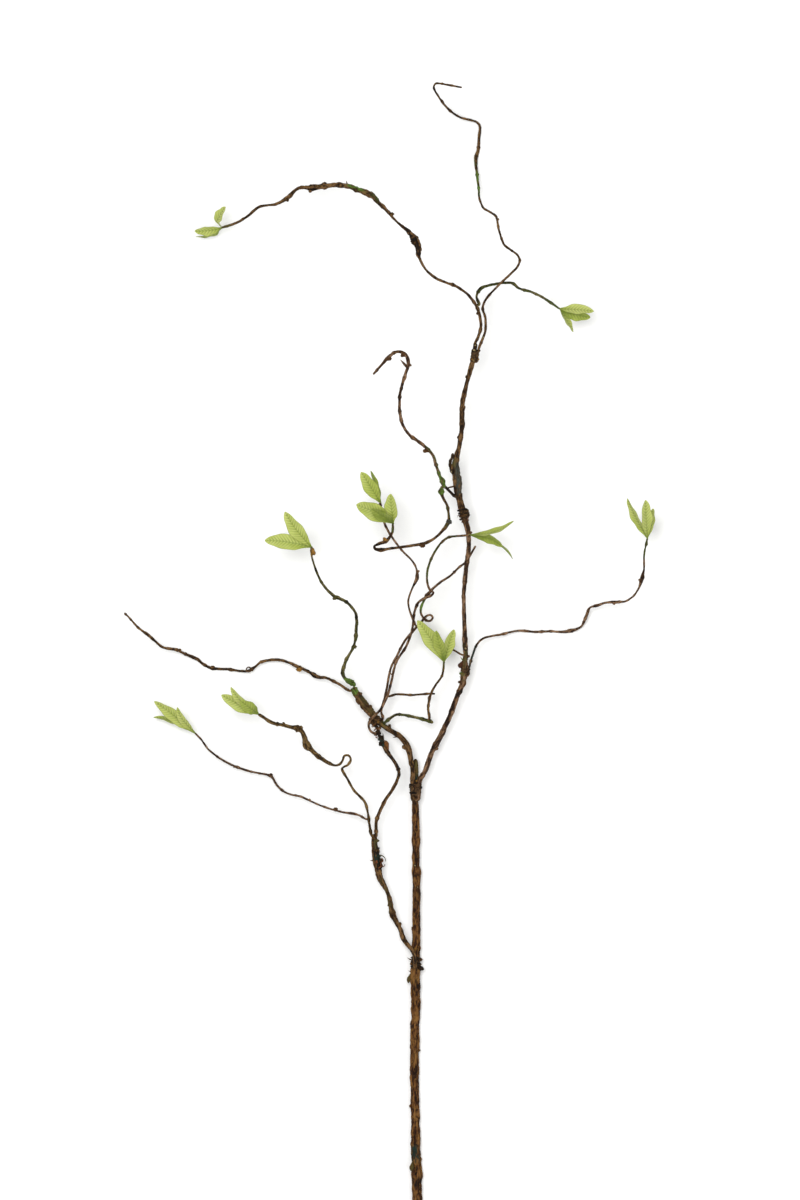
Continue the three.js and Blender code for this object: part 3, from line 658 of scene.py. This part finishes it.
def bark_skin(patch, node, path, seed, depth):
    """Adds the bark of a whole twig to a patch."""
    sides = int(np.clip(round(2 * math.pi * path.radii.mean() / 0.36), 14, 44))
    rings = len(path.points)
    angles = np.arange(sides) / sides * 2 * math.pi
    radius = path.radii * (1 + swelling(path, seed))
    grid_radius = np.repeat(radius, sides)
    circle = np.tile(np.column_stack([np.cos(angles), np.sin(angles)]), (rings, 1))
    places = np.column_stack([circle * grid_radius[:, None], np.repeat(path.along, sides)])
    places = places + seed * 31.7
    relief, seams = bark_relief(places, radius.mean(), seed, depth)
    degrees = np.tile(np.degrees(angles), rings)
    share = np.repeat(path.along / path.length, sides)
    cover = rubbed_paint(node, share, degrees, places, seed)
    crust = 0.16 * cover[:, 3] * (noise(places * 1.8, seed + 9) - 0.3)
    from_root = path.along if path.free_root else np.full(rings, path.length)
    to_end = np.minimum(from_root, path.length - path.along) / (0.6 * radius)
    rounded = np.repeat(np.sqrt(np.clip(to_end, 0.12, 1)), sides)
    out = (grid_radius * (1 + relief + crust) * rounded)[:, None]
    ways = circle[:, :1] * np.repeat(path.up, sides, axis=0)
    ways = ways + circle[:, 1:] * np.repeat(path.side, sides, axis=0)
    points = np.repeat(path.points, sides, axis=0) + out * ways
    patch.add(
        capped(points, rings, sides),
        loft_faces(rings, sides),
        grain=capped(places, rings, sides),
        paint=capped(cover, rings, sides),
        # The height and seam values carry painted shade: the material darkens the bark in its
        # hollows and seams and lightens it on its ridges.
        height=capped(np.clip(0.5 + relief * 2.4 / max(depth, 0.3), 0, 1), rings, sides),
        seam=capped(seams, rings, sides),
    )


# ---------------------------------------------------------------- small growths

def add_bud(patch, path, seed, share, angle, length, thick, lean, colour):
    """A drop-shaped bud on a thin neck, that swells and bends away from the bark."""
    start, out, ahead = path.surface(share, angle, -0.5)
    steps = np.linspace(0, 1, 18)
    direction = ahead * lean + out * 0.12
    direction /= np.linalg.norm(direction)
    bend = out * (0.16 * length * np.sin(steps * 2.2))[:, None]
    points = start + direction * (steps * length)[:, None] + bend
    radii = 0.5 * thick * (0.7 + 1.3 * np.sin(math.pi * steps**1.5) ** 1.4)
    radii *= np.sqrt(np.clip((1 - steps) / 0.14, 0.02, 1))
    radii = radii * (1 + 0.12 * (noise(np.column_stack([steps * 7] * 3), seed) - 0.5))
    tube(patch, points, radii, 14, height=0.6, paint=coat(colour, 0.85))


def add_lump(patch, middle, size, seed, paint):
    """A rough lump of bark or moss."""
    ball = bmesh.new()
    bmesh.ops.create_icosphere(ball, subdivisions=3, radius=1)
    points = np.array([v.co for v in ball.verts])
    faces = [[v.index for v in face.verts] for face in ball.faces]
    ball.free()
    random = np.random.default_rng(seed)
    stretch = random.uniform(0.75, 1.3, 3)
    rough = 1 + 0.8 * (noise(points * 1.6 + seed, seed) - 0.5)
    rough += 0.35 * (noise(points * 4 + seed, seed) - 0.5)
    shape = points * rough[:, None] * stretch * size
    # Painted shade: the lump is lighter where it bulges out and darker in its dips, and the seam
    # value darkens it a little all over.
    patch.add(middle + shape, faces, height=0.45 * rough, seam=0.25, paint=paint)


def add_twig_lump(patch, path, seed, share, angle, size, lift, colour):
    """A rough lump that stands off a twig's bark."""
    add_lump(patch, path.surface(share, angle, lift)[0], size, seed, coat(colour))


def add_scar(patch, path, seed, share, angle, size):
    """A round scar: a raised dark ring with a pale domed middle."""
    middle, out, ahead = path.surface(share, angle, 0.25)
    across = np.cross(out, ahead)
    turns = np.linspace(0, 2 * math.pi, 29)[:, None]
    ring = middle + size * 0.62 * (np.cos(turns) * ahead + np.sin(turns) * across)
    tube(patch, ring, 0.34 * size, 10, height=0.3, seam=0.3, paint=coat("black", 0.6))
    add_lump(patch, middle - out * 0.25 * size, 0.62 * size, seed, coat("cream", 0.75))


def add_spur(patch, path, seed, share, angle, length, thick, lean, colour):
    """A thin pointed sliver of bark or wire that bows as it leaves."""
    start, out, ahead = path.surface(share, angle, -0.4)
    random = np.random.default_rng(seed)
    direction = ahead * lean + out
    direction /= np.linalg.norm(direction)
    aside = np.cross(direction, random.normal(size=3))
    aside /= np.linalg.norm(aside)
    steps = np.linspace(0, 1, 12)
    points = start + direction * (steps * length)[:, None]
    points = points + aside * (0.22 * length * steps**2)[:, None]
    radii = thick * np.clip(1.15 - steps**1.6, 0.15, 1)
    tube(patch, points, radii, 8, height=0.45, paint=coat(colour, 0.8))


def add_strip(patch, path, seed, start, end, angle, lift, thick, colour):
    """A strip of bark along a twig, part sunk in it or lifted off, with rounded ends."""
    first, last = path.index(start), path.index(end)
    rows = np.arange(first, last + 1)
    steps = np.linspace(0, 1, len(rows))
    turn = np.radians(angle + 25 * np.sin(steps * 4 + seed))[:, None]
    out = path.up[rows] * np.cos(turn) + path.side[rows] * np.sin(turn)
    wander = noise(np.column_stack([path.along[rows] * 0.3] * 3), seed) - 0.5
    reach = path.radii[rows] - 0.1 * thick + 0.5 * thick * wander
    reach = reach + lift * np.clip(steps * 2.5, 0, 1)
    points = path.points[rows] + out * reach[:, None]
    radii = thick * (0.9 + 0.4 * wander) * np.clip(np.sin(math.pi * steps) * 3, 0.1, 1) ** 0.5
    tube(patch, points, radii, 12, height=0.5, paint=coat(colour, 0.75))


def add_hair(patch, start, heading, length, thick, turns, seed, paint, axis=None):
    """A hair that wanders and curls as it leaves, about an axis of its own or the one given."""
    random = np.random.default_rng(seed)
    count = 26
    heading = heading / np.linalg.norm(heading)
    wander = 0.12 if axis is None else 0.02
    axis = np.cross(heading, random.normal(size=3)) if axis is None else axis
    axis = axis / np.linalg.norm(axis)
    bend = 2 * math.pi * turns / count
    points = [np.asarray(start, float)]
    for _ in range(count):
        axis = axis + random.normal(size=3) * wander
        axis /= np.linalg.norm(axis)
        heading = heading + np.cross(axis, heading) * bend
        heading /= np.linalg.norm(heading)
        points.append(points[-1] + heading * length / count)
    radii = thick * np.linspace(1, 0.5, len(points))
    tube(patch, points, radii, 7, height=0.4, paint=paint)


def add_hairs(patch, path, seed, share, angle, count, length, thick, turns, colour):
    """A fray of hairs that leave the bark near one spot. A lone hair curls level."""
    random = np.random.default_rng(seed)
    axis = UP if count == 1 else None
    for k in range(count):
        spread = 0 if count == 1 else random.uniform(-0.02, 0.02)
        start, out, ahead = path.surface(share + spread, angle + random.uniform(-30, 30), -0.3)
        heading = out + ahead * random.uniform(-0.6, 0.6)
        reach = length * random.uniform(0.7, 1.1)
        add_hair(patch, start, heading, reach, thick, turns, seed * 30 + k, coat(colour), axis)


def add_tuft(patch, path, seed, share, angle, spread, count, colour):
    """A clump of crumbs strewn round one spot, part sunk in the bark."""
    random = np.random.default_rng(seed)
    for k in range(count):
        middle = path.surface(share, angle, random.uniform(-0.7, 0.35) * spread)[0]
        middle = middle + random.normal(size=3) * spread * 0.45
        size = random.uniform(0.25, 0.5) * spread
        add_lump(patch, middle, size, seed * 30 + k, coat(colour, 0.85))


# What may grow on a twig, in the order that it is added: how it is made, its table, and
# the step between the seeds of one twig and the next.
GROWTHS = [
    (add_bud, BUDS, 40), (add_twig_lump, LUMPS, 50), (add_scar, SCARS, 60), (add_spur, SPURS, 70),
    (add_strip, STRIPS, 80), (add_hairs, HAIRS, 90), (add_tuft, TUFTS, 95),
]


def add_growths(patch, node, path, seed):
    """Adds everything that the tables put on one twig."""
    for add, table, step in GROWTHS:
        for i, row in enumerate(table.get(node, [])):
            add(patch, path, seed * step + i, *row)


# ---------------------------------------------------------------- materials

def node_tree(name):
    material = bpy.data.materials.new(name)
    material.use_nodes = True
    tree = material.node_tree
    return material, tree, tree.nodes["Principled BSDF"]


def attribute(tree, name, output="Fac"):
    node = tree.nodes.new("ShaderNodeAttribute")
    node.attribute_name = name
    return node.outputs[output]


def grain_noise(tree, vector, scale, stretch, detail, rough=0.6):
    """Noise on the unrolled bark, whose features are this many times longer than wide."""
    mapping = tree.nodes.new("ShaderNodeMapping")
    mapping.inputs["Scale"].default_value = (1, 1, 1 / stretch)
    texture = tree.nodes.new("ShaderNodeTexNoise")
    texture.inputs["Scale"].default_value = scale
    texture.inputs["Detail"].default_value = detail
    texture.inputs["Roughness"].default_value = rough
    tree.links.new(vector, mapping.inputs["Vector"])
    tree.links.new(mapping.outputs["Vector"], texture.inputs["Vector"])
    return texture.outputs["Fac"]


def ramp(tree, value, stops):
    """A colour ramp: stops are (position, colour) with colours from 0 to 255."""
    node = tree.nodes.new("ShaderNodeValToRGB")
    elements = node.color_ramp.elements
    while len(elements) < len(stops):
        elements.new(0.5)
    for element, (position, colour) in zip(elements, stops):
        element.position = position
        element.color = (*linear(colour), 1)
    tree.links.new(value, node.inputs["Fac"])
    return node.outputs["Color"]


def rising(tree, value, low, high, top=1.0, bottom=0.0):
    """A value that rises from bottom to top between low and high."""
    node = tree.nodes.new("ShaderNodeMapRange")
    node.inputs["From Min"].default_value = low
    node.inputs["From Max"].default_value = high
    node.inputs["To Min"].default_value = bottom
    node.inputs["To Max"].default_value = top
    tree.links.new(value, node.inputs["Value"])
    return node.outputs["Result"]


def weighted(tree, *terms):
    """The sum of some outputs, each times its weight."""
    total = None
    for value, weight in terms:
        node = tree.nodes.new("ShaderNodeMath")
        node.operation = "MULTIPLY_ADD"
        tree.links.new(value, node.inputs[0])
        node.inputs[1].default_value = weight
        node.inputs[2].default_value = 0.0
        if total is not None:
            tree.links.new(total, node.inputs[2])
        total = node.outputs["Value"]
    return total


def blended(tree, amount, under, over):
    """Lays a colour, or the colour of an output, over an output by an amount."""
    node = tree.nodes.new("ShaderNodeMix")
    node.data_type = "RGBA"
    tree.links.new(amount, node.inputs["Factor"])
    tree.links.new(under, node.inputs["A"])
    if isinstance(over, tuple):
        node.inputs["B"].default_value = (*linear(over), 1)
    else:
        tree.links.new(over, node.inputs["B"])
    return node.outputs["Result"]


def bumped(tree, shader, height, distance, strength):
    node = tree.nodes.new("ShaderNodeBump")
    node.inputs["Distance"].default_value = distance
    node.inputs["Strength"].default_value = strength
    tree.links.new(height, node.inputs["Height"])
    tree.links.new(node.outputs["Normal"], shader.inputs["Normal"])


def dimmed(colour, factor):
    return tuple(factor * part for part in colour)


def bark_material(name, dark, middle, light, fleck):
    """Moulded bark: brown with dark patches, long streaks, flecks and paint, with painted shade:
    darker in its hollows and seams, lighter on its ridges.
    """
    material, tree, shader = node_tree(name)
    grain = attribute(tree, "grain", "Vector")
    patches = grain_noise(tree, grain, 0.33, 2.2, 3)
    streaks = grain_noise(tree, grain, 0.85, 4, 4, 0.65)
    flecks = grain_noise(tree, grain, 0.75, 2.6, 3, 0.7)
    pores = grain_noise(tree, grain, 4.5, 1.6, 3)
    height = attribute(tree, "height")
    # Painted shade by relief: the height term darkens the bark in its hollows and lightens it on
    # its ridges.
    shade = weighted(tree, (patches, 0.5), (streaks, 0.55), (height, 0.3), (pores, 0.2))
    colour = ramp(tree, shade, [(0.66, dark), (0.76, middle), (0.9, light)])
    colour = blended(tree, rising(tree, flecks, 0.57, 0.64, 0.85), colour, fleck)
    colour = blended(tree, rising(tree, patches, 0.42, 0.34, 0.8), colour, dimmed(dark, 0.6))
    # Painted shade in the seams and cracks of the bark, and just under the edge of each turn of
    # tape.
    seam = weighted(tree, (attribute(tree, "seam"), 0.75))
    colour = blended(tree, seam, colour, dimmed(dark, 0.45))
    paint = tree.nodes.new("ShaderNodeAttribute")
    paint.attribute_name = "paint"
    worn = rising(tree, streaks, 0.42, 0.6, 0.65)
    mottled = blended(tree, worn, paint.outputs["Color"], dimmed(dark, 0.7))
    colour = blended(tree, paint.outputs["Alpha"], colour, mottled)
    tree.links.new(colour, shader.inputs["Base Color"])
    tree.links.new(rising(tree, pores, 0.25, 0.75, 0.85, 0.5), shader.inputs["Roughness"])
    shader.inputs["Specular IOR Level"].default_value = 0.1
    bumped(tree, shader, weighted(tree, (streaks, 0.7), (pores, 0.4)), 0.0004, 1.0)
    return material


# A leaf's greens, from its pale blade to its deep base.
LEAF_GREENS = [
    (0.2, (182, 188, 110)),
    (0.4, (162, 171, 84)),
    (0.7, (104, 120, 38)),
    (1.0, (74, 90, 28)),
]


def leaf_material():
    """Pale yellow-green leaf, deeper green at its base, with fine veins and a grey rim."""
    material, tree, shader = node_tree("leaf_blade")
    grain = attribute(tree, "grain", "Vector")
    vein = attribute(tree, "vein")
    deep = attribute(tree, "deep")
    mottle = grain_noise(tree, grain, 0.2, 1.6, 4)
    weave = grain_noise(tree, grain, 2.2, 1.0, 2)
    shade = weighted(tree, (mottle, 0.5), (deep, 0.75))
    colour = ramp(tree, shade, LEAF_GREENS)
    colour = blended(tree, weighted(tree, (vein, 0.85)), colour, (104, 118, 46))
    rim = weighted(tree, (attribute(tree, "rim"), 0.75))
    colour = blended(tree, rim, colour, (92, 100, 52))
    colour = blended(tree, rising(tree, weave, 0.45, 0.7, 0.2), colour, (130, 140, 70))
    tree.links.new(colour, shader.inputs["Base Color"])
    shader.inputs["Roughness"].default_value = 0.48
    shader.inputs["Specular IOR Level"].default_value = 0.18
    shader.inputs["Subsurface Weight"].default_value = 0.2
    shader.inputs["Subsurface Scale"].default_value = 0.0015
    shader.inputs["Subsurface Radius"].default_value = (0.8, 1.0, 0.3)
    bumped(tree, shader, weighted(tree, (weave, 0.4), (vein, -0.8)), 0.00015, 0.7)
    return material


def table_material():
    material, tree, shader = node_tree("table_top")
    place = tree.nodes.new("ShaderNodeTexCoord").outputs["Object"]
    mottle = grain_noise(tree, place, 6, 1.0, 2)
    colour = ramp(tree, mottle, [(0.3, (246, 246, 245)), (0.7, (250, 250, 249))])
    tree.links.new(colour, shader.inputs["Base Color"])
    shader.inputs["Roughness"].default_value = 0.9
    shader.inputs["Specular IOR Level"].default_value = 0.1
    return material


# Each bark's dark, middle and light brown, and its flecks.
BARKS = {
    "stem_bark": [(38, 18, 6), (82, 50, 22), (120, 84, 42), (122, 88, 38)],
    "dark_bark": [(27, 17, 8), (67, 45, 24), (113, 84, 52), (118, 89, 46)],
    "pale_bark": [(35, 21, 14), (78, 55, 36), (133, 103, 77), (116, 82, 46)],
    "ochre_bark": [(32, 22, 12), (78, 58, 30), (125, 99, 59), (128, 99, 46)],
    "moss_bark": [(24, 21, 11), (60, 55, 30), (105, 95, 57), (93, 86, 41)],
    "binding": [(17, 11, 6), (43, 29, 17), (84, 62, 39), (94, 68, 36)],
}
MATERIALS = {name: bark_material(name, *colours) for name, colours in BARKS.items()}
MATERIALS["leaf"] = leaf_material()


# ---------------------------------------------------------------- leaves

def leaf_stations(node, tips):
    """Points down a leaf's middle, its sideways direction and its half widths, base first.

    The leaf is drawn on from its base to the tip of the twig that carries it.
    """
    rings = solid_rings(node)
    middles = np.array([ring.mean(axis=0) for ring in rings])
    gaps = [np.linalg.norm(nearest(tips, end) - end) for end in (middles[0], middles[-1])]
    if gaps[1] < gaps[0]:
        rings = rings[::-1]
    ribs, sides, halves = [], [], []
    for ring in rings:
        apart = np.linalg.norm(ring[:, None] - ring[None], axis=2)
        first, second = np.unravel_index(apart.argmax(), apart.shape)
        others = [k for k in range(4) if k not in (first, second)]
        ribs.append(ring[others].mean(axis=0))
        sides.append(ring[second] - ring[first])
        halves.append(apart.max() / 2)
    widest = int(np.argmax(halves))
    side = sides[widest] / np.linalg.norm(sides[widest])
    ahead = ribs[-1] - ribs[0]
    if np.cross(side, ahead)[2] < 0:
        side = -side
    stalk = nearest(tips, ribs[0])
    wide, narrow = ribs[2], 0.5 * (stalk + ribs[2])
    ribs = np.vstack([stalk + 0.1 * (stalk - wide), narrow, ribs[2:]])
    return ribs, side, np.array([0.35, 0.5 * halves[2], *halves[2:-1], 0.1])


def leaf_directions(rib, side, t, random):
    """The ways across and out of a leaf along its rib, twisted a little."""
    ahead = np.gradient(rib, axis=0)
    ahead /= np.linalg.norm(ahead, axis=1)[:, None]
    face = np.cross(side[None], ahead)
    face /= np.linalg.norm(face, axis=1)[:, None]
    across = np.cross(ahead, face)
    turn = np.radians(random.uniform(-16, 16) * (t - 0.3))[:, None]
    return (
        across * np.cos(turn) + face * np.sin(turn),
        face * np.cos(turn) - across * np.sin(turn),
    )


def rounded_tip(t, half):
    """A leaf's half widths, with its last part drawn in to a blunt tip."""
    start, rest = 0.78, 0.22
    closing = np.sqrt(np.clip(1 - (np.clip(t - start, 0, 1) / rest) ** 2, 0, 1))
    shoulder = np.interp(start, t, half) * closing
    return np.where(t > start, 0.65 * half + 0.35 * shoulder, half) + 0.05


def side_veins(t, length, around, reach):
    """How much of a side vein each point of a leaf has: veins slant from the midrib."""
    apart = 2.6
    phase = (t * length - np.abs(reach) * 0.9) / apart
    vein = np.exp(-(((phase - np.round(phase)) / 0.2) ** 2))
    return vein * np.clip(1.15 - np.abs(around), 0, 1) * band(t, 0.08, 0.95, 0.06)


def leaf_blade(node, tips, seed):
    """Builds one leaf: a thin closed blade with a midrib, side veins and a waved rim."""
    tint = 0.3 if node in DARK_LEAVES else 0.0
    ribs, side, halves = leaf_stations(node, tips)
    random = np.random.default_rng(seed)
    rows = smooth_rows(np.column_stack([ribs, halves]), 16)
    rib, half = rows[:, :3], np.maximum(rows[:, 3], 0.1)
    steps = np.concatenate([[0], np.cumsum(np.linalg.norm(np.diff(rib, axis=0), axis=1))])
    length = steps[-1]
    t = steps / length
    across, face = leaf_directions(rib, side, t, random)
    waves = np.sin(t * random.uniform(14, 20) + random.uniform(0, 6))
    half = rounded_tip(t, half * (1 + 0.03 * waves))

    columns = 19
    u = np.sin(np.linspace(-1, 1, 2 * columns + 1) * math.pi / 2)
    around = np.concatenate([u, u[::-1][1:-1]])[None]
    top = np.concatenate([np.ones(len(u)), -np.ones(len(u) - 2)])[None]
    count, sides = len(rib), around.shape[1]
    t = t[:, None]
    wave = random.uniform(0, 6, 3)
    reach = half[:, None] * around
    fold = 0.24 * half[:, None] * np.abs(around) ** 1.4
    ripple = 0.09 * half[:, None] * np.abs(around) ** 3
    ripple = ripple * np.sin(t * 17 + wave[0] + (around > 0) * wave[1])
    droop = 0.14 * length * np.sin(wave[2]) * np.clip(t - 0.55, 0, 1) ** 2
    side_vein = side_veins(t, length, around, reach)
    mid_vein = np.exp(-((reach / 0.3) ** 2))
    thick = 0.16 + 0.3 * mid_vein * (1 - 0.75 * t) + 0.05 * side_vein
    thick = thick * np.sqrt(np.clip(1 - np.abs(around) ** 6, 0.02, 1))
    height = fold + ripple + droop + top * thick - 0.06 * side_vein * (top > 0)
    points = rib[:, None] + reach[..., None] * across[:, None] + height[..., None] * face[:, None]

    def flat(values):
        return capped(np.broadcast_to(values, (count, sides)), count, sides)

    grain = np.column_stack([flat(reach), flat(0.5 * top), flat(t * length)]) + seed * 13.1
    edge = np.clip((np.abs(around) - 0.88) / 0.12, 0, 1)
    patch = Patch("vein", "deep", "rim")
    patch.add(
        capped(points, count, sides),
        loft_faces(count, sides),
        grain=grain,
        vein=flat(np.maximum(side_vein, mid_vein * (1 - 0.5 * t))),
        deep=flat(0.75 * np.exp(-t / 0.17) + 0.15 * mid_vein + tint + random.uniform(-0.1, 0.15)),
        rim=flat(edge),
    )
    patch.build(node + "_blade", MATERIALS["leaf"], node)


# ---------------------------------------------------------------- bindings

class Knot:
    """Where a binding sits: its axis, its reach and the strands that it holds.

    The binding's own coil in the model says where it starts and ends.
    """

    def __init__(self, node, strands):
        coil = np.array([ring.mean(axis=0) for ring in solid_rings(node)])
        start, end = coil[:10].mean(axis=0), coil[-10:].mean(axis=0)
        self.axis = (end - start) / np.linalg.norm(end - start)
        self.middle = (start + end) / 2
        self.reach = np.abs((coil - self.middle) @ self.axis).max()
        self.right = np.cross(self.axis, UP)
        self.right /= np.linalg.norm(self.right)
        self.up = np.cross(self.right, self.axis)
        self.strands = strands

    def circles(self, place):
        """The middles, from a point, and the radii of the strands beside it."""
        found = []
        for path in self.strands:
            off = path.points - place
            i = int((np.abs(off @ self.axis) + 0.1 * np.linalg.norm(off, axis=1)).argmin())
            if abs(off[i] @ self.axis) < 1.5:
                found.append((off[i] - self.axis * (off[i] @ self.axis), path.radii[i]))
        return found

    def outline(self, share, turns):
        """A skin drawn tight round the strands: its middle, and points at some turns."""
        place = self.middle + self.axis * self.reach * (2 * share - 1)
        circles = self.circles(place)
        weights = np.array([r**2 for _, r in circles])
        centre = sum(w * c for w, (c, _) in zip(weights, circles)) / weights.sum()
        angles = turns * 2 * math.pi
        out = np.cos(angles)[:, None] * self.right + np.sin(angles)[:, None] * self.up
        reach = np.zeros(len(turns))
        for c, r in circles:
            along = out @ (c - centre)
            aside = np.linalg.norm(c - centre - out * along[:, None], axis=1)
            hit = along + np.sqrt(np.clip(r**2 - aside**2, 0, None))
            reach = np.maximum(reach, np.where(aside < r, hit, along + 0.4 * r))
        return place + centre, out, np.maximum(reach, 0.5)


def tape_sleeve(patch, knot, facts, seed):
    """Adds the overlapping turns of tape round a knot, as one closed lumpy sleeve."""
    turns, thick = facts["tape"]
    sides, rings = 56, int(knot.reach * 2 / 0.3)
    around = np.arange(sides) / sides
    points, places, heights, seams = [], [], [], []
    for ring in range(rings):
        share = ring / (rings - 1)
        centre, out, reach = knot.outline(share, around)
        wide = np.concatenate([reach[-5:], reach, reach[:5]])
        smooth = np.array([wide[k:k + 11].mean() for k in range(sides)])
        reach = np.maximum(reach, smooth)
        spot = np.column_stack([out @ knot.right, out @ knot.up]) * reach[:, None]
        spot = np.column_stack([spot, np.full(sides, share * knot.reach * 2)]) + seed * 3.3
        wander = noise(spot * 0.5, seed) - 0.5
        step = (share * turns + around + 0.5 * wander) % 1
        lumps = noise(spot * [0.55, 0.55, 0.4], seed + 1) - 0.5
        fine = noise(spot * [2.2, 2.2, 1.2], seed + 2) - 0.5
        swell = 1 + facts["bulge"] * math.sin(math.pi * share)
        ends = math.sqrt(min(1, max(0.0, 7 * min(share, 1 - share)) + 0.3))
        cover = thick * (0.5 + 0.9 * step) + 1.1 * lumps + 0.3 * fine
        points.append(centre + out * ((reach * swell + cover) * ends)[:, None])
        places.append(spot)
        # Painted shade: the tape is darker where a turn lies low and lighter where it stands high,
        # and the seam darkens it just under the edge of the turn over it.
        heights.append(np.clip(0.35 + 0.3 * step + 0.5 * lumps + 0.5 * fine, 0, 1))
        seams.append(np.clip(1 - step * 7, 0, 1))
    patch.add(
        capped(np.vstack(points), rings, sides),
        loft_faces(rings, sides),
        grain=capped(np.vstack(places), rings, sides),
        height=capped(np.concatenate(heights), rings, sides),
        seam=capped(np.concatenate(seams), rings, sides),
    )


def wound_cord(knot, facts, seed):
    """The path of a cord wound loosely over the tape."""
    turns, cord = facts["cord"]
    steps = int(turns * 40)
    points = []
    for step in range(steps + 1):
        share = 0.12 + 0.76 * step / steps
        turn = turns * step / steps + 0.1 * seed
        share += 0.1 * math.sin(2 * math.pi * turn)
        centre, out, reach = knot.outline(min(max(share, 0.02), 0.98), np.array([turn]))
        swell = 1 + facts["bulge"] * math.sin(math.pi * share)
        lift = facts["tape"][1] + cord * 0.4
        points.append(centre + out[0] * (reach[0] * swell + lift))
    points = np.array(points)
    for _ in range(4):
        points[1:-1] = (points[:-2] + 2 * points[1:-1] + points[2:]) / 4
    line = Path(points, np.full(len(points), cord), 0.3)
    line.radii = line.radii * (0.7 + 0.6 * noise(np.column_stack([line.along * 0.3] * 3), seed))
    return line


def build_binding(node, facts, paths, seed):
    """Builds a binding: its tape, the cord over it, lumps of glue and bark, frayed ends."""
    knot = Knot(node, [paths[name] for name in facts["holds"]])
    patch = Patch("height", "seam")
    tape_sleeve(patch, knot, facts, seed)
    line = wound_cord(knot, facts, seed)
    bark_skin(patch, node, line, seed, 1.2)
    random = np.random.default_rng(seed)
    for k in range(facts["lumps"]):
        share, turn = random.uniform(0.05, 0.95), random.uniform(0, 1)
        centre, out, reach = knot.outline(share, np.array([turn]))
        colour = str(random.choice(["black", "brown", "brown", "ochre", "olive"]))
        size = random.uniform(0.5, 1.1)
        swell = 1 + facts["bulge"] * math.sin(math.pi * share)
        middle = centre + out[0] * (reach[0] * swell + 0.3 * size)
        add_lump(patch, middle, size, seed * 99 + k, coat(colour, 0.7))
    for k in range(facts["hairs"]):
        share, angle = random.uniform(0, 1), random.uniform(-120, 120)
        start, out, ahead = line.surface(share, angle, -0.2)
        heading = out + ahead * random.uniform(-0.8, 0.8)
        reach = random.uniform(2, 4.5)
        paint = coat("rust" if k % 2 else "brown", 0.8)
        add_hair(patch, start, heading, reach, 0.18, 0.4, seed * 77 + k, paint)
    patch.build(node + "_winding", MATERIALS["binding"], node)


# ---------------------------------------------------------------- the whole spray

def build_spray():
    paths = read_twigs()
    for seed, (node, path) in enumerate(paths.items(), start=1):
        patch = Patch("height", "seam")
        _, slot, grain = TWIGS[node]
        bark_skin(patch, node, path, seed, grain)
        add_growths(patch, node, path, seed)
        patch.build(node + "_bark", MATERIALS[slot], node)
    for seed, (node, facts) in enumerate(BINDINGS.items(), start=101):
        build_binding(node, facts, paths, seed)
    tips = np.array([path.points[-1] for path in paths.values()])
    leaves = sorted(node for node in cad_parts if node.startswith("leaf_"))
    for seed, node in enumerate(leaves, start=201):
        leaf_blade(node, tips, seed)


# ---------------------------------------------------------------- table, light, camera

# In metres: the table's side, how tall the view is, how much of the stem's end it cuts
# off, how far it sits right of the spray's middle, and the height where it is that tall.
TABLE_SIZE = 12.0
VIEW_TALL = 0.96
VIEW_CUT = 0.0057
VIEW_ASIDE = 0.0086
VIEW_LEVEL = 0.025


def build_table():
    mesh = bpy.data.meshes.new("table")
    half = TABLE_SIZE / 2
    corners = [(-half, -half, 0), (half, -half, 0), (half, half, 0), (-half, half, 0)]
    mesh.from_pydata(corners, [], [(0, 1, 2, 3)])
    mesh.materials.append(table_material())
    table = bpy.data.objects.new("table", mesh)
    table.location.z = cad_box[0][2]
    bpy.context.scene.collection.objects.link(table)


def area_light(name, place, size, power):
    """A round soft light that shines at the middle of the spray."""
    data = bpy.data.lights.new(name, "AREA")
    data.shape = "DISK"
    data.size = size
    data.energy = power
    light = bpy.data.objects.new(name, data)
    light.location = place
    light.rotation_euler = Vector([-part for part in place]).to_track_quat("-Z", "Y").to_euler()
    light.visible_camera = False
    bpy.context.scene.collection.objects.link(light)


def build_lights():
    area_light("key", (-0.5, 0.45, 3.4), 2.2, 100)
    area_light("fill", (1.5, -0.8, 2.4), 1.6, 16)
    world = bpy.data.worlds.new("studio")
    world.use_nodes = True
    background = world.node_tree.nodes["Background"]
    background.inputs["Color"].default_value = (1, 1, 1, 1)
    background.inputs["Strength"].default_value = 0.42
    bpy.context.scene.world = world
    bpy.context.scene.view_settings.view_transform = "Standard"


def build_camera():
    """Looks straight down on the spray."""
    low, high = cad_box
    data = bpy.data.cameras.new("camera")
    data.lens = 200
    data.sensor_width = 36
    data.clip_end = 100
    camera = bpy.data.objects.new("camera", data)
    across = (low[0] + high[0]) / 2 + VIEW_ASIDE
    height = VIEW_TALL * data.lens / data.sensor_width
    camera.location = (across, low[1] + VIEW_CUT + VIEW_TALL / 2, height + VIEW_LEVEL)
    bpy.context.scene.collection.objects.link(camera)
    bpy.context.scene.camera = camera


build_camera()
build_lights()
build_table()
build_spray()
